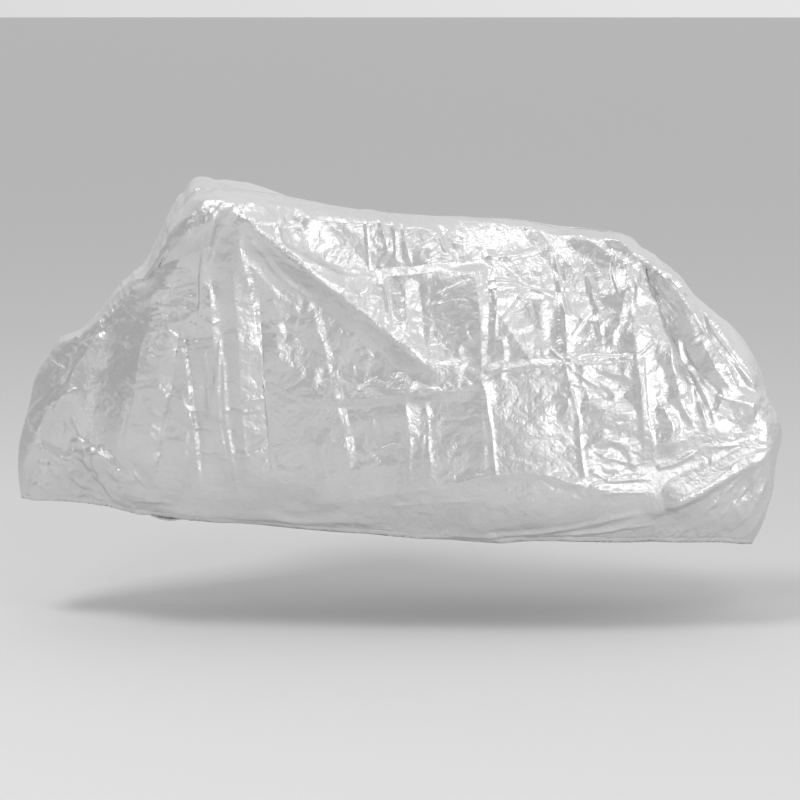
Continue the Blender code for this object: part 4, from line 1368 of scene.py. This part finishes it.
@dataclass
class Stitching:
    """Rows of stitches along the hem and beside the seam of one panel, joined in one piece.

    Attributes:
        panel: The panel that they sew.
        pitch: Distance from one stitch to the next.
        length: Length of a stitch.
        width: Thickness of the thread.
        beside: Distance of the upper row from the seam.
    """

    panel: ClothPanel
    pitch: float = 0.0050
    length: float = 0.0038
    width: float = 0.0009
    beside: float = 0.007

    def lines(self) -> list[Array]:
        """The grid lines of the panel that stitches follow, as points."""
        points, panel = self.panel.points, self.panel
        hem = points[6:-6, panel.top_rows + 1 + panel.side_rows]
        down = panel.spread(points)[1]
        rows = range(12, len(points) - 12)
        top = [[np.interp(self.beside, down[i], points[i, :, k]) for k in range(3)] for i in rows]
        return [hem, np.array(top)]

    def build(self, thread: bpy.types.Material) -> bpy.types.Object:
        """Makes the stitches as small bars that rise from the cloth and return to it."""
        vertices, faces = [], []
        middle = self.panel.points[:, self.panel.points.shape[1] // 2].mean(axis=0)
        for line in self.lines():
            steps = np.linalg.norm(np.diff(line, axis=0), axis=1)
            along = np.append(0, np.cumsum(steps))
            starts = np.arange(self.pitch, along[-1] - self.pitch, self.pitch)
            ring = starts[:, None] + self.length * np.array([0.0, 0.5, 1.0])
            centre = np.stack([np.interp(ring, along, line[:, i]) for i in range(3)], axis=-1)
            run = centre[:, 2:] - centre[:, :1]
            run = run / np.linalg.norm(run, axis=-1, keepdims=True)
            outward = np.array([0.0, self.panel.side.value, 0.35])
            across = np.cross(run, outward)
            across = across / np.linalg.norm(across, axis=-1, keepdims=True)
            up = np.cross(across, run)
            up = up * np.sign((up * outward).sum(-1, keepdims=True))
            height = self.width * np.array([-0.3, 0.45, -0.3])[None, :, None]
            for k in range(4):
                angle = math.radians(45 + 90 * k)
                offset = across * math.cos(angle) + up * math.sin(angle)
                vertices.append(centre + up * height + offset * self.width / 2)
            corners = np.stack(vertices[-4:], axis=2)
            vertices = vertices[:-4] + [corners.reshape(-1, 3)]
            base = sum(len(v) for v in vertices[:-1])
            for first in range(base, base + len(corners) * 12, 12):
                for r in (0, 4):
                    for k in range(4):
                        n = (k + 1) % 4
                        faces.append((first + r + k, first + r + n, first + r + 4 + n, first + r + 4 + k))
                faces.append(tuple(first + k for k in range(4)))
                faces.append(tuple(first + 11 - k for k in range(4)))
        mesh = bpy.data.meshes.new(self.panel.name + "_stitches")
        mesh.from_pydata(np.concatenate(vertices).tolist(), [], faces)
        mesh.validate()
        stitches = bpy.data.objects.new(mesh.name, mesh)
        bpy.context.scene.collection.objects.link(stitches)
        mesh.materials.append(thread)
        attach(stitches, "root")
        return stitches


def near_panel() -> ClothPanel:
    """The side in view."""
    return ClothPanel(
        name="near_cloth",
        solid="near_panel",
        side=Side.NEAR,
        girth=NEAR_GIRTH,
        hem=NEAR_HEM,
        folds=tuple(fold.crease() for fold in NEAR_FOLDS),
        creases=NEAR_CREASES,
        rumples=NEAR_RUMPLES,
        gathers=HEM_GATHERS,
        seed=11,
    )


def far_panel() -> ClothPanel:
    """The other side: its creases and rumples are those of the side in view, moved a little."""
    rng = np.random.default_rng(5)
    creases = tuple(crease.moved(rng) for crease in NEAR_CREASES if crease.name not in NEAR_ONLY)
    rumples = tuple(rumple.moved(rng) for rumple in NEAR_RUMPLES)
    return ClothPanel(
        name="far_cloth",
        solid="far_panel",
        side=Side.FAR,
        girth=FAR_GIRTH,
        hem=FAR_HEM,
        folds=tuple(fold.crease() for fold in FAR_FOLDS),
        creases=creases,
        rumples=rumples,
        gathers=HEM_GATHERS,
        seed=47,
    )


def hanging_area(sheet: bpy.types.Object) -> float:
    """Area of a sheet as it hangs."""
    return sum(face.area for face in sheet.data.polygons)


def main() -> None:
    """Builds the cover and the studio round it."""
    logging.basicConfig(level=logging.INFO, format="%(name)s: %(message)s")
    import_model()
    StudioFloor().build()
    Studio().build()
    cloth, thread = SilverCloth().make(), Thread().make()
    for panel in (near_panel(), far_panel()):
        sheet = panel.build()
        panel.dress(sheet, cloth)
        stitches = Stitching(panel).build(thread)
        area = hanging_area(sheet)
        LOG.info("%s: %d faces, %.2f square metres", sheet.name, len(sheet.data.polygons), area)
        LOG.info("%s: %d faces", stitches.name, len(stitches.data.polygons))


if __name__ == "__main__":
    main()
